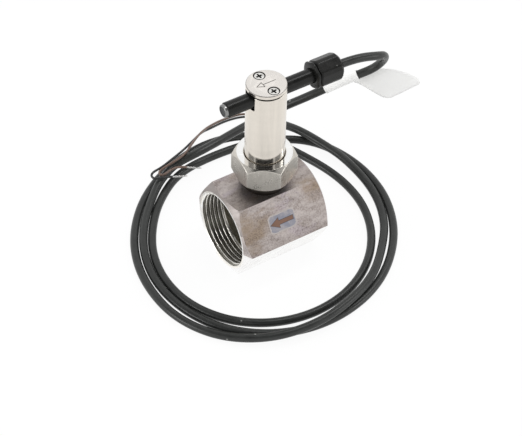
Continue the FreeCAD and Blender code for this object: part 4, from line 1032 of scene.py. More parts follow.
class FLOWSWITCH_OT_stage(bpy.types.Operator):
    """Camera, floor, soft lamps and the pale room round them"""
    bl_idname = "flow_switch.stage"
    bl_label = "Stage"

    def execute(self, context):
        self.place_camera(context)
        self.lay_floor()
        self.hang_lamps()
        self.paint_room(context)
        context.scene.view_settings.view_transform = "Standard"
        return {"FINISHED"}

    def place_camera(self, context):
        """Camera above the left front, tilted a little."""
        data = bpy.data.cameras.new("camera")
        data.sensor_fit = "HORIZONTAL"
        data.sensor_width = 36.0
        data.lens = CAMERA_LENS
        data.clip_start = 0.05
        data.clip_end = 60.0
        camera = new_object("camera", data)
        back = Vector(CAMERA_BACK).normalized()
        right = Vector((0.0, 0.0, 1.0)).cross(back).normalized()
        up = back.cross(right)
        side = right * math.cos(CAMERA_TILT) + up * math.sin(CAMERA_TILT)
        head = up * math.cos(CAMERA_TILT) - right * math.sin(CAMERA_TILT)
        turn = Matrix((side, head, back)).transposed().to_4x4()
        camera.matrix_world = Matrix.Translation(CAMERA_SPOT) @ turn
        context.scene.camera = camera

    def lay_floor(self):
        """Round floor that looks white and keeps a trace of the shadow."""
        material = bpy.data.materials.new("pale_floor")
        tree = empty_tree(material)
        output = add(tree, "ShaderNodeOutputMaterial")
        plain = add(tree, "ShaderNodeBsdfDiffuse", {"Color": FLOOR_GREY})
        white = add(tree, "ShaderNodeEmission", {"Color": WHITE, "Strength": 1.0})
        path = add(tree, "ShaderNodeLightPath").outputs
        seen = reckon(tree, "MAXIMUM", path["Is Camera Ray"], path["Is Glossy Ray"])
        shown = reckon(tree, "MAXIMUM", seen, path["Is Transmission Ray"])
        mixed = add(tree, "ShaderNodeMixShader")
        join(tree, times(tree, shown, FLOOR_WHITE_SHARE), mixed.inputs["Fac"])
        join(tree, plain.outputs["BSDF"], mixed.inputs[1])
        join(tree, white.outputs["Emission"], mixed.inputs[2])
        join(tree, mixed.outputs["Shader"], output.inputs["Surface"])
        bm = bmesh.new()
        rows = skin(bm, [ring(round_housing, 0.0, reach) for reach in FLOOR_RINGS], [0])
        bm.faces.new(rows[0])
        bmesh.ops.recalc_face_normals(bm, faces=bm.faces)
        floor = new_object("floor", new_mesh("floor", bm, [material]))

    def hang_lamps(self):
        """Three soft lamps aimed at the part."""
        for name, spot, width, height, power in LAMPS:
            data = bpy.data.lights.new(name, "AREA")
            data.shape = "RECTANGLE"
            data.size = width
            data.size_y = height
            data.energy = power
            lamp = new_object(name, data)
            lamp.location = spot
            aim = Vector(LAMP_AIM) - Vector(spot)
            lamp.rotation_euler = aim.to_track_quat("-Z", "Y").to_euler()

    def paint_room(self, context):
        """White room that is darker in the mirror of the steel."""
        world = bpy.data.worlds.new("pale_room")
        context.scene.world = world
        tree = empty_tree(world)
        output = add(tree, "ShaderNodeOutputWorld")
        room = add(tree, "ShaderNodeBackground", {"Strength": 1.0})
        way = add(tree, "ShaderNodeTexCoord").outputs["Generated"]
        facing = vector_math(tree, "DOT_PRODUCT", way, ROOM_DARK_WAY)["Value"]
        height = parts_of(tree, way)["Z"]
        plain = blend(tree, ramp(tree, height, 0.10, 0.75), ROOM_PALE, WHITE)
        lifted = ramp(tree, height, 0.40, 0.60)
        tone = plain
        for start, stop, grey in ROOM_ZONES:
            zone = times(tree, ramp(tree, facing, start, stop), lifted)
            tone = blend(tree, zone, tone, (grey, grey, grey, 1.0))
        mirrored = add(tree, "ShaderNodeLightPath").outputs["Is Glossy Ray"]
        join(tree, blend(tree, mirrored, plain, tone), room.inputs["Color"])
        join(tree, room.outputs["Background"], output.inputs["Surface"])


class FLOWSWITCH_OT_cable(bpy.types.Operator):
    """Sheathed cable from the gland, round its loop, through the coil and out to its cut end"""
    bl_idname = "flow_switch.cable"
    bl_label = "Cable"

    def execute(self, context):
        diameter = context.scene.flow_switch_sizes.cable_diameter
        points = list(CABLE_LEAD) + coil_points() + list(CABLE_TAIL)
        cord = draw_cord("cable_sheath", points, diameter, finish("cable_black"))
        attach(cord, "reed_stick")
        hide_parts("cable_lead", "cable_coil", "cable_tail")
        return {"FINISHED"}


class FLOWSWITCH_OT_conductors(bpy.types.Operator):
    """Brown and black conductors that leave the sheath, and their bare tinned tips"""
    bl_idname = "flow_switch.conductors"
    bl_label = "Conductors"

    def execute(self, context):
        sizes = context.scene.flow_switch_sizes
        tips = bmesh.new()
        for name, slot, route, node in (
            ("brown_wire", "wire_brown", BROWN_ROUTE, "conductor_brown"),
            ("black_wire", "wire_black", BLACK_ROUTE, "conductor_black"),
        ):
            cord = draw_cord(name, route, sizes.wire_diameter, finish(slot))
            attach(cord, "reed_stick")
            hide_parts(node)
            self.twist_strands(tips, Vector(route[-2]) * MM, Vector(route[-1]) * MM, sizes.tip_length)
        looks = [finish("wire_tinned")]
        to_piece("bare_tips", tips, looks, "reed_stick", ["conductor_tips"], soft=(0,))
        return {"FINISHED"}

    def twist_strands(self, bm, before, start, length):
        """Six strands twisted round a seventh, which stick out of one conductor's end."""
        run = (start - before).normalized()
        side = run.cross(Vector((0.0, 0.0, 1.0))).normalized()
        head = side.cross(run)
        thick = 0.15 * MM
        tuck = 0.4 * MM
        twist = math.radians(250.0)
        steps = 12
        circle = [side * math.cos(turn) + head * math.sin(turn) for turn in even_angles(8)]
        for strand in range(7):
            orbit = 0.0 if strand == 6 else 0.29 * MM
            reach = length * (1.0 - 0.05 * (strand % 3))
            rings = []
            for step in range(steps + 1):
                share = step / steps
                angle = math.tau * strand / 6.0 + share * twist
                middle = start + run * (reach * share - tuck * (1.0 - share))
                middle += (side * math.cos(angle) + head * math.sin(angle)) * orbit
                rings.append([middle + way * thick for way in circle])
            skin(bm, rings, [0], capped=True)


class FLOWSWITCH_OT_declare_cords(bpy.types.Operator):
    bl_idname = "flow_switch.declare_cords"
    bl_label = "Declare cords"

    def execute(self, context):
        sizes = context.scene.flow_switch_sizes
        for name, pieces, diameter, lay, stiffness in (
            ("cable_sheath", ["folded_label"], sizes.cable_diameter, "coiled", "medium"),
            ("brown_wire", [], sizes.wire_diameter, "loose", "limp"),
            ("black_wire", ["bare_tips"], sizes.wire_diameter, "loose", "limp"),
        ):
            cord = bpy.data.objects[name]
            points = read_centreline(cord)
            tuple(points[0])
            line_length(points)
            [bpy.data.objects[piece] for piece in pieces]
        return {"FINISHED"}


class FLOWSWITCH_OT_label(bpy.types.Operator):
    """Blank white label folded round the cable, with its flag curling away"""
    bl_idname = "flow_switch.label"
    bl_label = "Cable label"

    def execute(self, context):
        sizes = context.scene.flow_switch_sizes
        left, right = (edge * MM for edge in LABEL_STRETCH)
        low, high = (edge * MM for edge in LABEL_HEIGHTS)
        stretch = []
        for point in read_centreline(bpy.data.objects["cable_sheath"]):
            if left <= point.x <= right and low < point.z < high and point.y < LABEL_DEPTH * MM:
                stretch.append(point)
        if len(stretch) < 3:
            raise RuntimeError("the label found no cable to wrap")
        bm = bmesh.new()
        self.wrap_cable(bm, stretch, sizes.cable_diameter / 2 + sizes.label_film)
        self.spread_flag(bm)
        looks = [finish("label_white")]
        piece = to_piece("folded_label", bm, looks, "reed_stick", ["cable_label"], soft=(0,))
        film = piece.modifiers.new("film", "SOLIDIFY")
        film.thickness = sizes.label_film
        film.offset = 0.0
        return {"FINISHED"}

    def wrap_cable(self, bm, stretch, reach):
        """Sleeve of film round the cable, slightly wider where its two ends overlap."""
        rings = []
        for before, point, after in zip(stretch[:1] + stretch, stretch, stretch[1:] + stretch[-1:]):
            run = (after - before).normalized()
            side = run.cross(Vector((0.0, 0.0, 1.0))).normalized()
            head = side.cross(run)
            points = []
            for angle in even_angles(28):
                wide = reach + 0.12 * MM * max(0.0, math.cos(angle - 0.7)) ** 6
                points.append(point + (side * math.cos(angle) + head * math.sin(angle)) * wide)
            rings.append(points)
        skin(bm, rings, [0])

    def spread_flag(self, bm):
        """Two leaves of film that leave the cable, arch and hang, with rounded corners."""
        rows, columns = 16, 24
        grid = []
        for row in range(rows + 1):
            share = row / rows
            corner = min(1.0, min(share, 1.0 - share) * 7.0)
            inset = 0.07 * (1.0 - math.sqrt(1.0 - (1.0 - corner) ** 2))
            points = []
            for column in range(columns + 1):
                along = column / columns * (1.0 - inset)
                upper = self.bend(LABEL_UPPER_EDGE, along)
                lower = self.bend(LABEL_LOWER_EDGE, along)
                points.append(bm.verts.new(upper.lerp(lower, share) * MM))
            grid.append(points)
        for first, second in zip(grid, grid[1:]):
            for side in range(columns):
                bm.faces.new((first[side], first[side + 1], second[side + 1], second[side]))

    def bend(self, handles, share):
        """Point on the smooth bend that four handles give."""
        points = [Vector(handle) for handle in handles]
        while len(points) > 1:
            points = [before.lerp(after, share) for before, after in zip(points, points[1:])]
        return points[0]


class FLOWSWITCH_OT_tee(bpy.types.Operator):
    """Hexagon tee with coned ends, a pipe thread in each and the hole for the neck"""
    bl_idname = "flow_switch.tee"
    bl_label = "Threaded tee"

    LOOKS = (
        "tee_flats", "tee_ends", "tee_thread", "tee_bore", "tee_under", "tee_root", "tee_edge", "tee_cone",
    )

    def execute(self, context):
        sizes = context.scene.flow_switch_sizes
        half = TEE_HIGH.x
        flat = BORE_HEIGHT
        rim = 21.7 * MM
        cone_slope = 1.868
        mouth = 20.75 * MM
        minor = 19.475 * MM
        lead_in = half - (mouth - minor)
        stop = 8.0 * MM
        chamber = 18.0 * MM
        pitch = sizes.thread_pitch
        depth = sizes.thread_depth
        thread_end = half - 5.7 * pitch
        rows_per_turn = 12.0

        def outside(angle):
            return hexagon(flat, 0.0, angle)

        def cone_edge(angle):
            return half - (outside(angle) - rim) / cone_slope

        def bore(level):
            def reach(angle):
                fade = min(1.0, max(0.0, (abs(level) - thread_end) / pitch))
                cut = minor + depth * fade * thread_wave(level / pitch - angle / math.tau)
                return max(cut, minor + abs(level) - lead_in)
            return reach

        count = int(round((half - stop) / (pitch / rows_per_turn)))
        levels = [half - (half - stop) * step / count for step in range(1, count + 1)]
        inner = [1 if level > lead_in else 2 if level > thread_end else 3 for level in levels]
        rows = [
            (lambda angle: -cone_edge(angle), outside), (cone_edge, outside), (half, rim), (half, mouth)]
        rows += [(level, bore(level)) for level in levels]
        rows += [(stop, chamber), (-stop, chamber)]
        rows += [(-level, bore(-level)) for level in reversed(levels)]
        rows += [(-half, mouth), (-half, rim)]
        finishes = [0, 0, 1] + inner + [3, 3, 3] + inner[::-1] + [1, 0]
        bm = turned(round_pipe, rows, finishes, closed=True)
        hole = turned(round_housing, [(30.0 * MM, NECK_SHANK), (50.0 * MM, NECK_SHANK)], [3], capped=True)
        looks = [finish(name) for name in self.LOOKS]
        bm = carve(bm, [hole], looks)
        self.share_finishes(bm, minor + 0.4 * depth)
        # The broken edges take the lighter tee tone, a painted highlight along them.
        to_piece("hex_tee", bm, looks, "base", ["tee_body"], sizes.rounding * 1.6, soft=(2, 5),
                 limit=20.0, fine=(1,), edge_index=6)
        return {"FINISHED"}

    def share_finishes(self, bm, root_reach):
        """Painted floor reflection on what faces down, painted light and shade on the cones by their
        facing, and painted shade in the thread's roots.
        """
        names = ("flats", "thread", "under", "root", "edge", "cone")
        flats, thread, under, root, edge, cone = (self.LOOKS.index("tee_" + name) for name in names)
        bm.normal_update()
        for face in bm.faces:
            spot = face.calc_center_median()
            on_cone = abs(face.normal.x) > 0.5
            if face.material_index == flats and face.normal.z < (0.0 if on_cone else -0.3):
                face.material_index = under
            # Cones are split by facing into a painted lighter and a painted darker tone.
            elif face.material_index == flats and on_cone:
                face.material_index = edge if face.normal.z < 0.24 else cone
            # Faces deep in the thread take the darker root tone, painted shade.
            elif face.material_index == thread and math.hypot(spot.y, spot.z - BORE_HEIGHT) > root_reach:
                face.material_index = root


class FLOWSWITCH_OT_neck(bpy.types.Operator):
    """Turned neck with its outside thread, run-out groove and seal groove"""
    bl_idname = "flow_switch.neck"
    bl_label = "Threaded neck"

    def execute(self, context):
        sizes = context.scene.flow_switch_sizes
        pitch = sizes.neck_pitch
        depth = sizes.neck_depth
        outside = NECK_HIGH.x
        bore = 9.5 * MM
        foot = TEE_HIGH.z
        top = NECK_HIGH.z
        groove = 11.4 * MM
        seal_outside = 12.3 * MM
        seal_inside = 10.4 * MM
        seal_floor = top - 1.3 * MM
        chamfer = 0.6 * MM
        start = foot + 4.0 * MM
        stop = NUT_LOW.z + 2.4 * MM
        rows_per_turn = 10.0

        def cut(level):
            def reach(angle):
                fade = min(1.0, max(0.0, (level - start) / pitch))
                return outside - depth * fade * thread_wave(level / pitch - angle / math.tau)
            return reach

        shank = [
            (NECK_LOW.z, bore), (NECK_LOW.z, NECK_SHANK), (foot, NECK_SHANK), (foot, groove),
            (foot + 2.4 * MM, groove), (foot + 3.6 * MM, outside)]
        count = int(round((stop - start) / (pitch / rows_per_turn)))
        levels = [start + (stop - start) * step / count for step in range(count + 1)]
        crown = [
            (stop + 0.4 * MM, outside), (top - chamfer, outside), (top, outside - chamfer),
            (top, seal_outside), (seal_floor, seal_outside), (seal_floor, seal_inside), (top, seal_inside),
            (top, bore)]
        rows = shank + [(level, cut(level)) for level in levels] + crown
        finishes = [0] * len(shank) + [1] * len(levels) + [0] * len(crown)
        bm = turned(round_housing, rows, finishes, closed=True)
        # The neck is near black all over, painted shade under the nut.
        looks = [finish("neck_thread")] * 2
        to_piece("threaded_neck", bm, looks, "base", ["neck_adapter"], sizes.rounding * 0.5,
                 soft=(1,))
        wear("housing_o_ring", "seal_rubber")
        return {"FINISHED"}


class FLOWSWITCH_OT_union_nut(bpy.types.Operator):
    """Union nut with coned corners and a polished top face"""
    bl_idname = "flow_switch.union_nut"
    bl_label = "Union nut"

    def execute(self, context):
        sizes = context.scene.flow_switch_sizes
        low = NUT_LOW.z
        top = NUT_HIGH.z
        flat = 15.0 * MM
        face = 14.7 * MM
        cone_drop = 2.6 * MM
        corner = flat / math.cos(HALF_FLAT)
        corner_at = math.radians(26.4)
        thread = 13.25 * MM
        hole = 10.75 * MM
        chamfer = 0.35 * MM
        lip = top - 2.5 * MM

        def outside(angle):
            return hexagon(flat, corner_at, angle)

        def drop(angle):
            return cone_drop * (outside(angle) - face) / (corner - face)

        rows = [
            (low, thread), (low, face), (lambda angle: low + drop(angle), outside),
            (lambda angle: top - drop(angle), outside), (top, face), (top, hole + chamfer),
            (top - chamfer, hole), (lip, hole), (lip, thread)]
        angles = [angle + corner_at for angle in even_angles()]
        bm = turned(round_housing, rows, [1, 0, 0, 2, 1, 1, 0, 0, 0], angles, closed=True)
        # The broken edges take the lighter edge tone, painted highlight lines.
        looks = [finish(name) for name in ("nut_flats", "nut_face", "nut_cone", "nut_edge")]
        to_piece("hex_union_nut", bm, looks, "base", ["union_nut"], sizes.rounding * 1.4,
                 limit=12.0, fine=(1,), edge_index=3)
        return {"FINISHED"}


class FLOWSWITCH_OT_housing(bpy.types.Operator):
    """Slim turned housing with its collar, blind bore and the slot for the reed tube"""
    bl_idname = "flow_switch.housing"
    bl_label = "Slotted housing"

    EAR_COLUMNS = 36
    MOUTH_COLUMNS = 12
    HALF_SLOT = 4.2 * MM

    def execute(self, context):
        sizes = context.scene.flow_switch_sizes
        outside = CAP_HIGH.x
        low = HOUSING_LOW.z
        chamber = 7.7 * MM
        chamber_top = 99.1 * MM
        shoulder = 62.0 * MM
        mouth = 8.0 * MM
        spigot = 9.45 * MM
        collar = 12.9 * MM
        collar_low = 61.0 * MM
        collar_top = 64.2 * MM
        slot_low = TUBE_HEIGHT - self.HALF_SLOT
        rows = [
            (chamber_top, chamber), (shoulder, chamber), (shoulder, mouth), (low, mouth), (low, spigot),
            (collar_low, spigot), (collar_low, collar), (collar_top, collar), (collar_top, outside),
            (slot_low, outside)]
        wall = self.columns(outside)
        bm = bmesh.new()
        grid = skin(bm, [ring(round_housing, level, reach, wall) for level, reach in rows], [0])
        bm.faces.new(grid[0])
        self.raise_ears(bm, grid[-1], outside, wall)
        for vertex in [vertex for vertex in bm.verts if not vertex.link_faces]:
            bm.verts.remove(vertex)
        looks = [finish("housing_steel")]
        to_piece("slotted_housing", bm, looks, "base", ["switch_housing"],
                 sizes.rounding * 0.7)
        return {"FINISHED"}

    def columns(self, radius):
        """Angles that put a column on each edge of the slot, with even ones between."""
        edge = math.asin(self.HALF_SLOT / radius)
        angles = []
        for half in (0.0, math.pi):
            for step in range(self.EAR_COLUMNS):
                angles.append(half + edge + (math.pi - 2 * edge) * step / self.EAR_COLUMNS)
            for step in range(self.MOUTH_COLUMNS):
                angles.append(half + math.pi - edge + 2 * edge * step / self.MOUTH_COLUMNS)
        return angles

    def raise_ears(self, bm, brim, outside, wall):
        """The two ears beside the slot, with a narrow chamfer at their top, and the slot's floor."""
        top = HOUSING_HIGH.z
        seam = 0.25 * MM
        inner = outside - seam
        upper = [bm.verts.new(point) for point in ring(round_housing, top - seam, outside, wall)]
        crown = [bm.verts.new(point) for point in ring(round_housing, top, inner, self.columns(inner))]
        floor = []
        for ear in (0, COLUMNS // 2):
            last = ear + self.EAR_COLUMNS
            for step in range(ear, last):
                bm.faces.new((brim[step], brim[step + 1], upper[step + 1], upper[step]))
                bm.faces.new((upper[step], upper[step + 1], crown[step + 1], crown[step]))
            bm.faces.new([crown[step] for step in range(ear, last + 1)])
            bm.faces.new((brim[ear], upper[ear], crown[ear], crown[last], upper[last], brim[last]))
            floor += [brim[step % COLUMNS] for step in range(last, last + self.MOUTH_COLUMNS + 1)]
        bm.faces.new(floor)


class FLOWSWITCH_OT_cap(bpy.types.Operator):
    """Clamp cap with an engraved flow arrow and two countersinks, and its cross-recess screws"""
    bl_idname = "flow_switch.cap"
    bl_label = "Engraved cap"

    def execute(self, context):
        self.make_cap(context.scene.flow_switch_sizes.engraving)
        self.make_screws()
        return {"FINISHED"}

    def make_cap(self, line_width):
        """Cap with a seam groove under it, a rounded rim, two countersinks and the arrow."""
        low = CAP_LOW.z
        top = CAP_HIGH.z
        edge = CAP_HIGH.x
        seam_height = 0.85 * MM
        seam_depth = 0.8 * MM
        round_over = 0.4 * MM
        steps = 8
        rows = [(low, edge - seam_depth), (low + seam_height, edge - seam_depth), (low + seam_height, edge)]
        for step in range(steps + 1):
            turn = math.radians(90.0 * step / steps)
            drop = (1.0 - math.sin(turn)) * round_over
            inset = (1.0 - math.cos(turn)) * round_over
            rows.append((top - drop, edge - inset))
        # The seam groove and the countersinks' cut faces are near black: painted shade.
        bm = turned(round_housing, rows, [2, 2, 3] + [4] * 7 + [0], capped=True)
        cutters = [self.countersink(top, low, side * SCREW_OFFSET) for side in (-1.0, 1.0)]
        cutters += self.arrow_cutters(top, line_width)
        # The rounded rim takes the much darker rim tone, a painted dark reflection line.
        names = ("cap_steel", "engraving", "recess_dark", "housing_steel", "cap_rim")
        looks = [finish(name) for name in names]
        bm = carve(bm, cutters, looks)
        to_piece("engraved_cap", bm, looks, "base", ["clamp_cap"], 0.05 * MM)

    def countersink(self, top, low, depth):
        """Cutter for one screw's hole."""
        shank = 1.6 * MM
        head = 3.2 * MM
        rows = [
            (low - 1.0 * MM, shank), (top - 1.55 * MM, shank), (top - 0.1 * MM, head),
            (top + 0.5 * MM, head)]
        return turned(standing(depth), rows, [2], even_angles(SCREW_COLUMNS), capped=True)

    def arrow_cutters(self, top, width):
        """Shaft and three head lines of the engraved arrow."""
        head = -2.05 * MM
        barb = 1.75 * MM
        tip = Vector((-5.7 * MM, 0.0))
        left = Vector((head, barb))
        right = Vector((head, -barb))
        tail = Vector((5.3 * MM, 0.0))
        root = Vector((head, 0.0))
        made = []
        for first, second in ((tail, root), (left, right), (left, tip), (right, tip)):
            run = (second - first).normalized()
            side = Vector((-run.y, run.x)) * (width / 2)
            first = first - run * (width / 2)
            second = second + run * (width / 2)
            outline = [first + side, second + side, second - side, first - side]
            bm = bmesh.new()
            floor = [Vector((spot.x, spot.y, top - 0.2 * MM)) for spot in outline]
            prism(bm, floor, (0.0, 0.0, 0.5 * MM), 1)
            made.append(bm)
        return made

    def make_screws(self):
        """The two screws, each turned a little differently."""
        low = SCREW_LOW.z
        top = SCREW_HIGH.z
        shank = 1.5 * MM
        rows = [
            (low, 1.2 * MM), (low + 0.3 * MM, shank), (top - 1.5 * MM, shank), (top - 0.3 * MM, 2.62 * MM),
            (top - 0.1 * MM, 2.6 * MM), (top, 2.45 * MM)]
        # The underside and rim of each head and the cross recess are near black: painted shade.
        looks = [finish("screw_steel"), finish("recess_dark")]
        whole = bmesh.new()
        for side, turn in ((-1.0, 8.0), (1.0, 3.0)):
            depth = side * SCREW_OFFSET
            bm = turned(standing(depth), rows, [0, 0, 1, 1, 0], even_angles(SCREW_COLUMNS), capped=True)
            screw = carve(bm, self.cross_recess(top, depth, math.radians(turn)), looks)
            mesh = new_mesh("screw", screw)
            whole.from_mesh(mesh)
            bpy.data.meshes.remove(mesh)
        to_piece("cross_screws", whole, looks, "base", ["cap_screws"], 0.06 * MM)

    def cross_recess(self, top, along, turn):
        """Two tapered bars across each other."""
        made = []
        for quarter in (0.0, math.radians(90.0)):
            run = Vector((math.cos(turn + quarter), math.sin(turn + quarter), 0.0))
            side = Vector((-run.y, run.x, 0.0))
            centre = Vector((0.0, along, 0.0))
            bm = bmesh.new()
            rings = []
            for level, reach, width in (
                (top - 1.25 * MM, 0.9 * MM, 0.26 * MM), (top - 0.5 * MM, 1.45 * MM, 0.38 * MM),
                (top + 0.2 * MM, 1.85 * MM, 0.54 * MM),
            ):
                middle = centre + Vector((0.0, 0.0, level))
                rings.append([
                    middle + run * reach + side * width, middle - run * reach + side * width,
                    middle - run * reach - side * width, middle + run * reach - side * width])
            skin(bm, rings, [1], capped=True)
            made.append(bm)
        return made


class FLOWSWITCH_OT_reed_tube(bpy.types.Operator):
    """Black reed tube with its grey dished end plug, and what is cast into it"""
    bl_idname = "flow_switch.reed_tube"
    bl_label = "Reed tube"

    def execute(self, context):
        left = TUBE_LOW.x
        right = TUBE_HIGH.x
        outer = TUBE_HIGH.y
        chamfer = 0.5 * MM
        angles = even_angles(TUBE_COLUMNS)
        rows = [
            (left, TUBE_BORE), (left, outer - chamfer), (left + chamfer, outer), (right, outer),
            (right, TUBE_BORE)]
        bm = turned(round_tube, rows, [0], angles, closed=True)
        looks = [finish("tube_black")]
        to_piece("reed_tube", bm, looks, "reed_stick", ["sensor_tube"], 0.12 * MM)
        face = PLUG_LOW.x
        rim = PLUG_HIGH.y
        rows = [
            (face + 0.34 * MM, 0.9 * MM), (face + 0.3 * MM, rim - 1.1 * MM),
            (face + 0.1 * MM, rim - 0.85 * MM), (face, rim - 0.7 * MM), (face, rim - 0.4 * MM),
            (face + 0.4 * MM, rim), (left, rim), (left, TUBE_BORE), (PLUG_HIGH.x, TUBE_BORE)]
        # The rim, chamfer and side take the lighter metal tone, a painted highlight.
        bm = turned(round_tube, rows, [0, 0, 0, 1, 1, 1, 0, 0], angles, capped=True)
        looks = [finish("plug_grey"), finish("plug_rim")]
        to_piece("dished_plug", bm, looks, "reed_stick", ["tube_end_plug"], 0.05 * MM)
        wear("tube_potting", "resin_black")
        wear("reed_glass", "reed_glass")
        wear("reed_upper", "reed_metal")
        wear("reed_lower", "reed_metal")
        return {"FINISHED"}


class FLOWSWITCH_OT_gland(bpy.types.Operator):
    """Cable gland: hexagon collar, barrel, nut and the seal round the cable"""
    bl_idname = "flow_switch.gland"
    bl_label = "Cable gland"

    FLAT = 7.0 * MM
    WIDEST = 7.5 * MM

    def execute(self, context):
        rounding = context.scene.flow_switch_sizes.moulded_rounding
        looks = [finish("gland_black")]
        bm = turned(round_tube, self.collar_rows(), closed=True)
        to_piece("gland_collar", bm, looks, "reed_stick", ["gland_body"], rounding * 0.4)
        bm = turned(round_tube, self.nut_rows(), closed=True)
        to_piece("gland_cap_nut", bm, looks, "reed_stick", ["gland_nut"], rounding,
                 limit=24.0)
        wear("gland_seal", "seal_rubber")
        return {"FINISHED"}

    def outside(self, angle):
        """Hexagon with its corners turned off."""
        return min(hexagon(self.FLAT, math.radians(90.0), angle), self.WIDEST)

    def sloped(self, angle, face, depth):
        """How far a turned cone of that face reaches down the hexagon at an angle."""
        corner = self.FLAT / math.cos(HALF_FLAT)
        return depth * (self.outside(angle) - face) / (corner - face)

    def collar_rows(self):
        """Profile of the gland's hexagon collar and barrel."""
        start = COLLAR_LOW.x
        stop = COLLAR_HIGH.x
        end = start + 1.8 * MM
        seat = start + 4.2 * MM
        face = 6.2 * MM
        tube = 4.05 * MM
        barrel = 5.4 * MM
        cable = 2.6 * MM
        return [
            (start, tube), (start, face),
            (lambda angle: start + self.sloped(angle, face, 0.9 * MM), self.outside),
            (end - 0.25 * MM, self.outside), (end, lambda angle: self.outside(angle) - 0.35 * MM),
            (end, barrel), (stop, barrel), (stop, cable), (seat, cable), (seat, tube)]

    def nut_rows(self):
        """Profile of the gland's nut."""
        first = GLAND_LOW.x
        last = GLAND_HIGH.x
        step = COLLAR_HIGH.x
        seat = last - 3.0 * MM
        face = 6.3 * MM
        end_face = 5.9 * MM
        thread = 5.45 * MM
        seal = 4.65 * MM
        cable = 2.6 * MM
        flare = 0.4 * MM
        return [
            (first, thread), (first, face),
            (lambda angle: first + self.sloped(angle, face, 1.5 * MM), self.outside),
            (lambda angle: last - self.sloped(angle, end_face, 2.3 * MM), self.outside),
            (last - 0.2 * MM, 6.0 * MM), (last, 5.7 * MM), (last, cable + flare), (last - flare, cable),
            (seat, cable), (seat, seal), (step, seal), (step, thread)]


class FLOWSWITCH_OT_sticker(bpy.types.Operator):
    """Lilac sticker with the flow arrow, on the tee's upper front flat"""
    bl_idname = "flow_switch.sticker"
    bl_label = "Flow sticker"

    def execute(self, context):
        sizes = context.scene.flow_switch_sizes
        out = Vector((0.0, -math.cos(HALF_FLAT), math.sin(HALF_FLAT)))
        along = Vector((1.0, 0.0, 0.0))
        up = out.cross(along)
        middle = Vector((0.0, 0.0, BORE_HEIGHT)) + out * BORE_HEIGHT
        centre = middle + along * (-1.3 * MM) + up * (-0.75 * MM)

        def lay(name, points, sunk, level):
            """Piece of film that stands level millimetres out of the flat and is sunk into it."""
            floor = []
            for across, rise in points:
                floor.append(centre + along * across * MM + up * rise * MM - out * sunk * MM)
            bm = bmesh.new()
            prism(bm, floor, out * (sunk + level) * MM)
            to_piece(name, bm, [finish(name)], "base")

        wide = sizes.sticker_width / MM / 2
        high = sizes.sticker_height / MM / 2
        for name, grow, level in (("sticker_rim", 0.0, 0.03), ("flow_sticker", -0.55, 0.04)):
            lay(name, self.worn_outline(wide + grow, high + grow, 0.10 - 0.45 * grow), 0.05, level)
        for name, grow, level in (("arrow_line", 0.34, 0.05), ("flow_arrow", 0.0, 0.075)):
            lay(name, self.arrow_outline(grow), 0.02, level)
        return {"FINISHED"}

    def arrow_outline(self, grow):
        """Flow arrow in millimetres, with its lines moved out by so much."""
        tip = -7.0 - grow * 1.6
        neck = -2.1 + grow * 0.6
        tail = 6.4 + grow
        shaft = 0.95 + grow
        barb = 2.6 + grow * 1.4
        return [
            (tip, 0.0), (neck, barb), (neck, shaft), (tail, shaft), (tail, -shaft), (neck, -shaft),
            (neck, -barb)]

    def worn_outline(self, wide, high, wear_depth):
        """Rectangle with rounded corners, nibbled unevenly along its edge."""
        points = []
        count = 160
        squareness = 0.32
        for step in range(count):
            turn = math.tau * step / count
            nibble = 1.0 + math.sin(5.0 * turn + 0.6) * math.sin(13.0 * turn)
            nibble += 0.6 * math.sin(31.0 * turn + 1.0)
            bite = wear_depth * max(0.0, nibble) * 0.5
            across, rise = (
                (size - bite) * math.copysign(abs(share) ** squareness, share)
                for size, share in ((wide, math.cos(turn)), (high, math.sin(turn))))
            points.append((across, rise))
        return points


class FLOWSWITCH_OT_paddle(bpy.types.Operator):
    """Finishes of the pivot, lever, magnets and paddle blade inside the tee and housing"""
    bl_idname = "flow_switch.paddle"
    bl_label = "Paddle works"

    def execute(self, context):
        for node, name in (
            ("pivot_carrier", "lever_steel"),
            ("pivot_pin", "screw_steel"),
            ("carrier_clip", "lever_steel"),
            ("return_magnet", "magnet_dark"),
            ("paddle_lever", "lever_steel"),
            ("pivot_bush", "bearing_bush"),
            ("magnet_cup", "lever_steel"),
            ("lever_magnet", "magnet_dark"),
            ("paddle_blade", "blade_steel"),
            ("blade_rivets", "screw_steel"),
        ):
            wear(node, name)
        return {"FINISHED"}


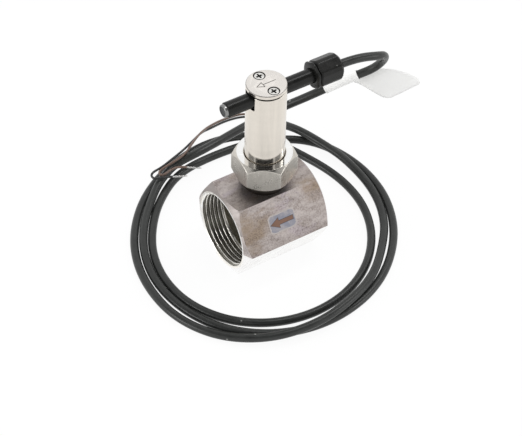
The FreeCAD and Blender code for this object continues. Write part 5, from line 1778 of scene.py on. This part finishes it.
class FLOWSWITCH_PT_pieces(bpy.types.Panel):
    """Lists the sizes, colours and pieces of the flow switch"""
    bl_idname = "FLOWSWITCH_PT_pieces"
    bl_label = "Flow switch"
    bl_space_type = "VIEW_3D"
    bl_region_type = "UI"
    bl_category = "Flow Switch"

    def draw(self, context):
        layout = self.layout
        for piece in PIECES:
            layout.operator(piece.bl_idname)
        for group in (context.scene.flow_switch_sizes, context.scene.flow_switch_colours):
            box = layout.box()
            for key in group.bl_rna.properties.keys():
                if key not in ("rna_type", "name"):
                    box.prop(group, key)


PIECES = (
    FLOWSWITCH_OT_stage,
    FLOWSWITCH_OT_cable,
    FLOWSWITCH_OT_conductors,
    FLOWSWITCH_OT_label,
    FLOWSWITCH_OT_declare_cords,
    FLOWSWITCH_OT_tee,
    FLOWSWITCH_OT_neck,
    FLOWSWITCH_OT_union_nut,
    FLOWSWITCH_OT_housing,
    FLOWSWITCH_OT_cap,
    FLOWSWITCH_OT_reed_tube,
    FLOWSWITCH_OT_gland,
    FLOWSWITCH_OT_sticker,
    FLOWSWITCH_OT_paddle,
)
CLASSES = (FlowSwitchSizes, FlowSwitchColours) + PIECES + (FLOWSWITCH_PT_pieces,)


def register():
    for item in CLASSES:
        bpy.utils.register_class(item)
    bpy.types.Scene.flow_switch_sizes = bpy.props.PointerProperty(type=FlowSwitchSizes)
    bpy.types.Scene.flow_switch_colours = bpy.props.PointerProperty(type=FlowSwitchColours)


def unregister():
    del bpy.types.Scene.flow_switch_colours
    del bpy.types.Scene.flow_switch_sizes
    for item in reversed(CLASSES):
        bpy.utils.unregister_class(item)


def main():
    register()
    bpy.ops.flow_switch.stage()
    bpy.ops.flow_switch.cable()
    bpy.ops.flow_switch.conductors()
    bpy.ops.flow_switch.label()
    bpy.ops.flow_switch.declare_cords()
    bpy.ops.flow_switch.tee()
    bpy.ops.flow_switch.neck()
    bpy.ops.flow_switch.union_nut()
    bpy.ops.flow_switch.housing()
    bpy.ops.flow_switch.cap()
    bpy.ops.flow_switch.reed_tube()
    bpy.ops.flow_switch.gland()
    bpy.ops.flow_switch.sticker()
    bpy.ops.flow_switch.paddle()


if __name__ == "__main__":
    main()
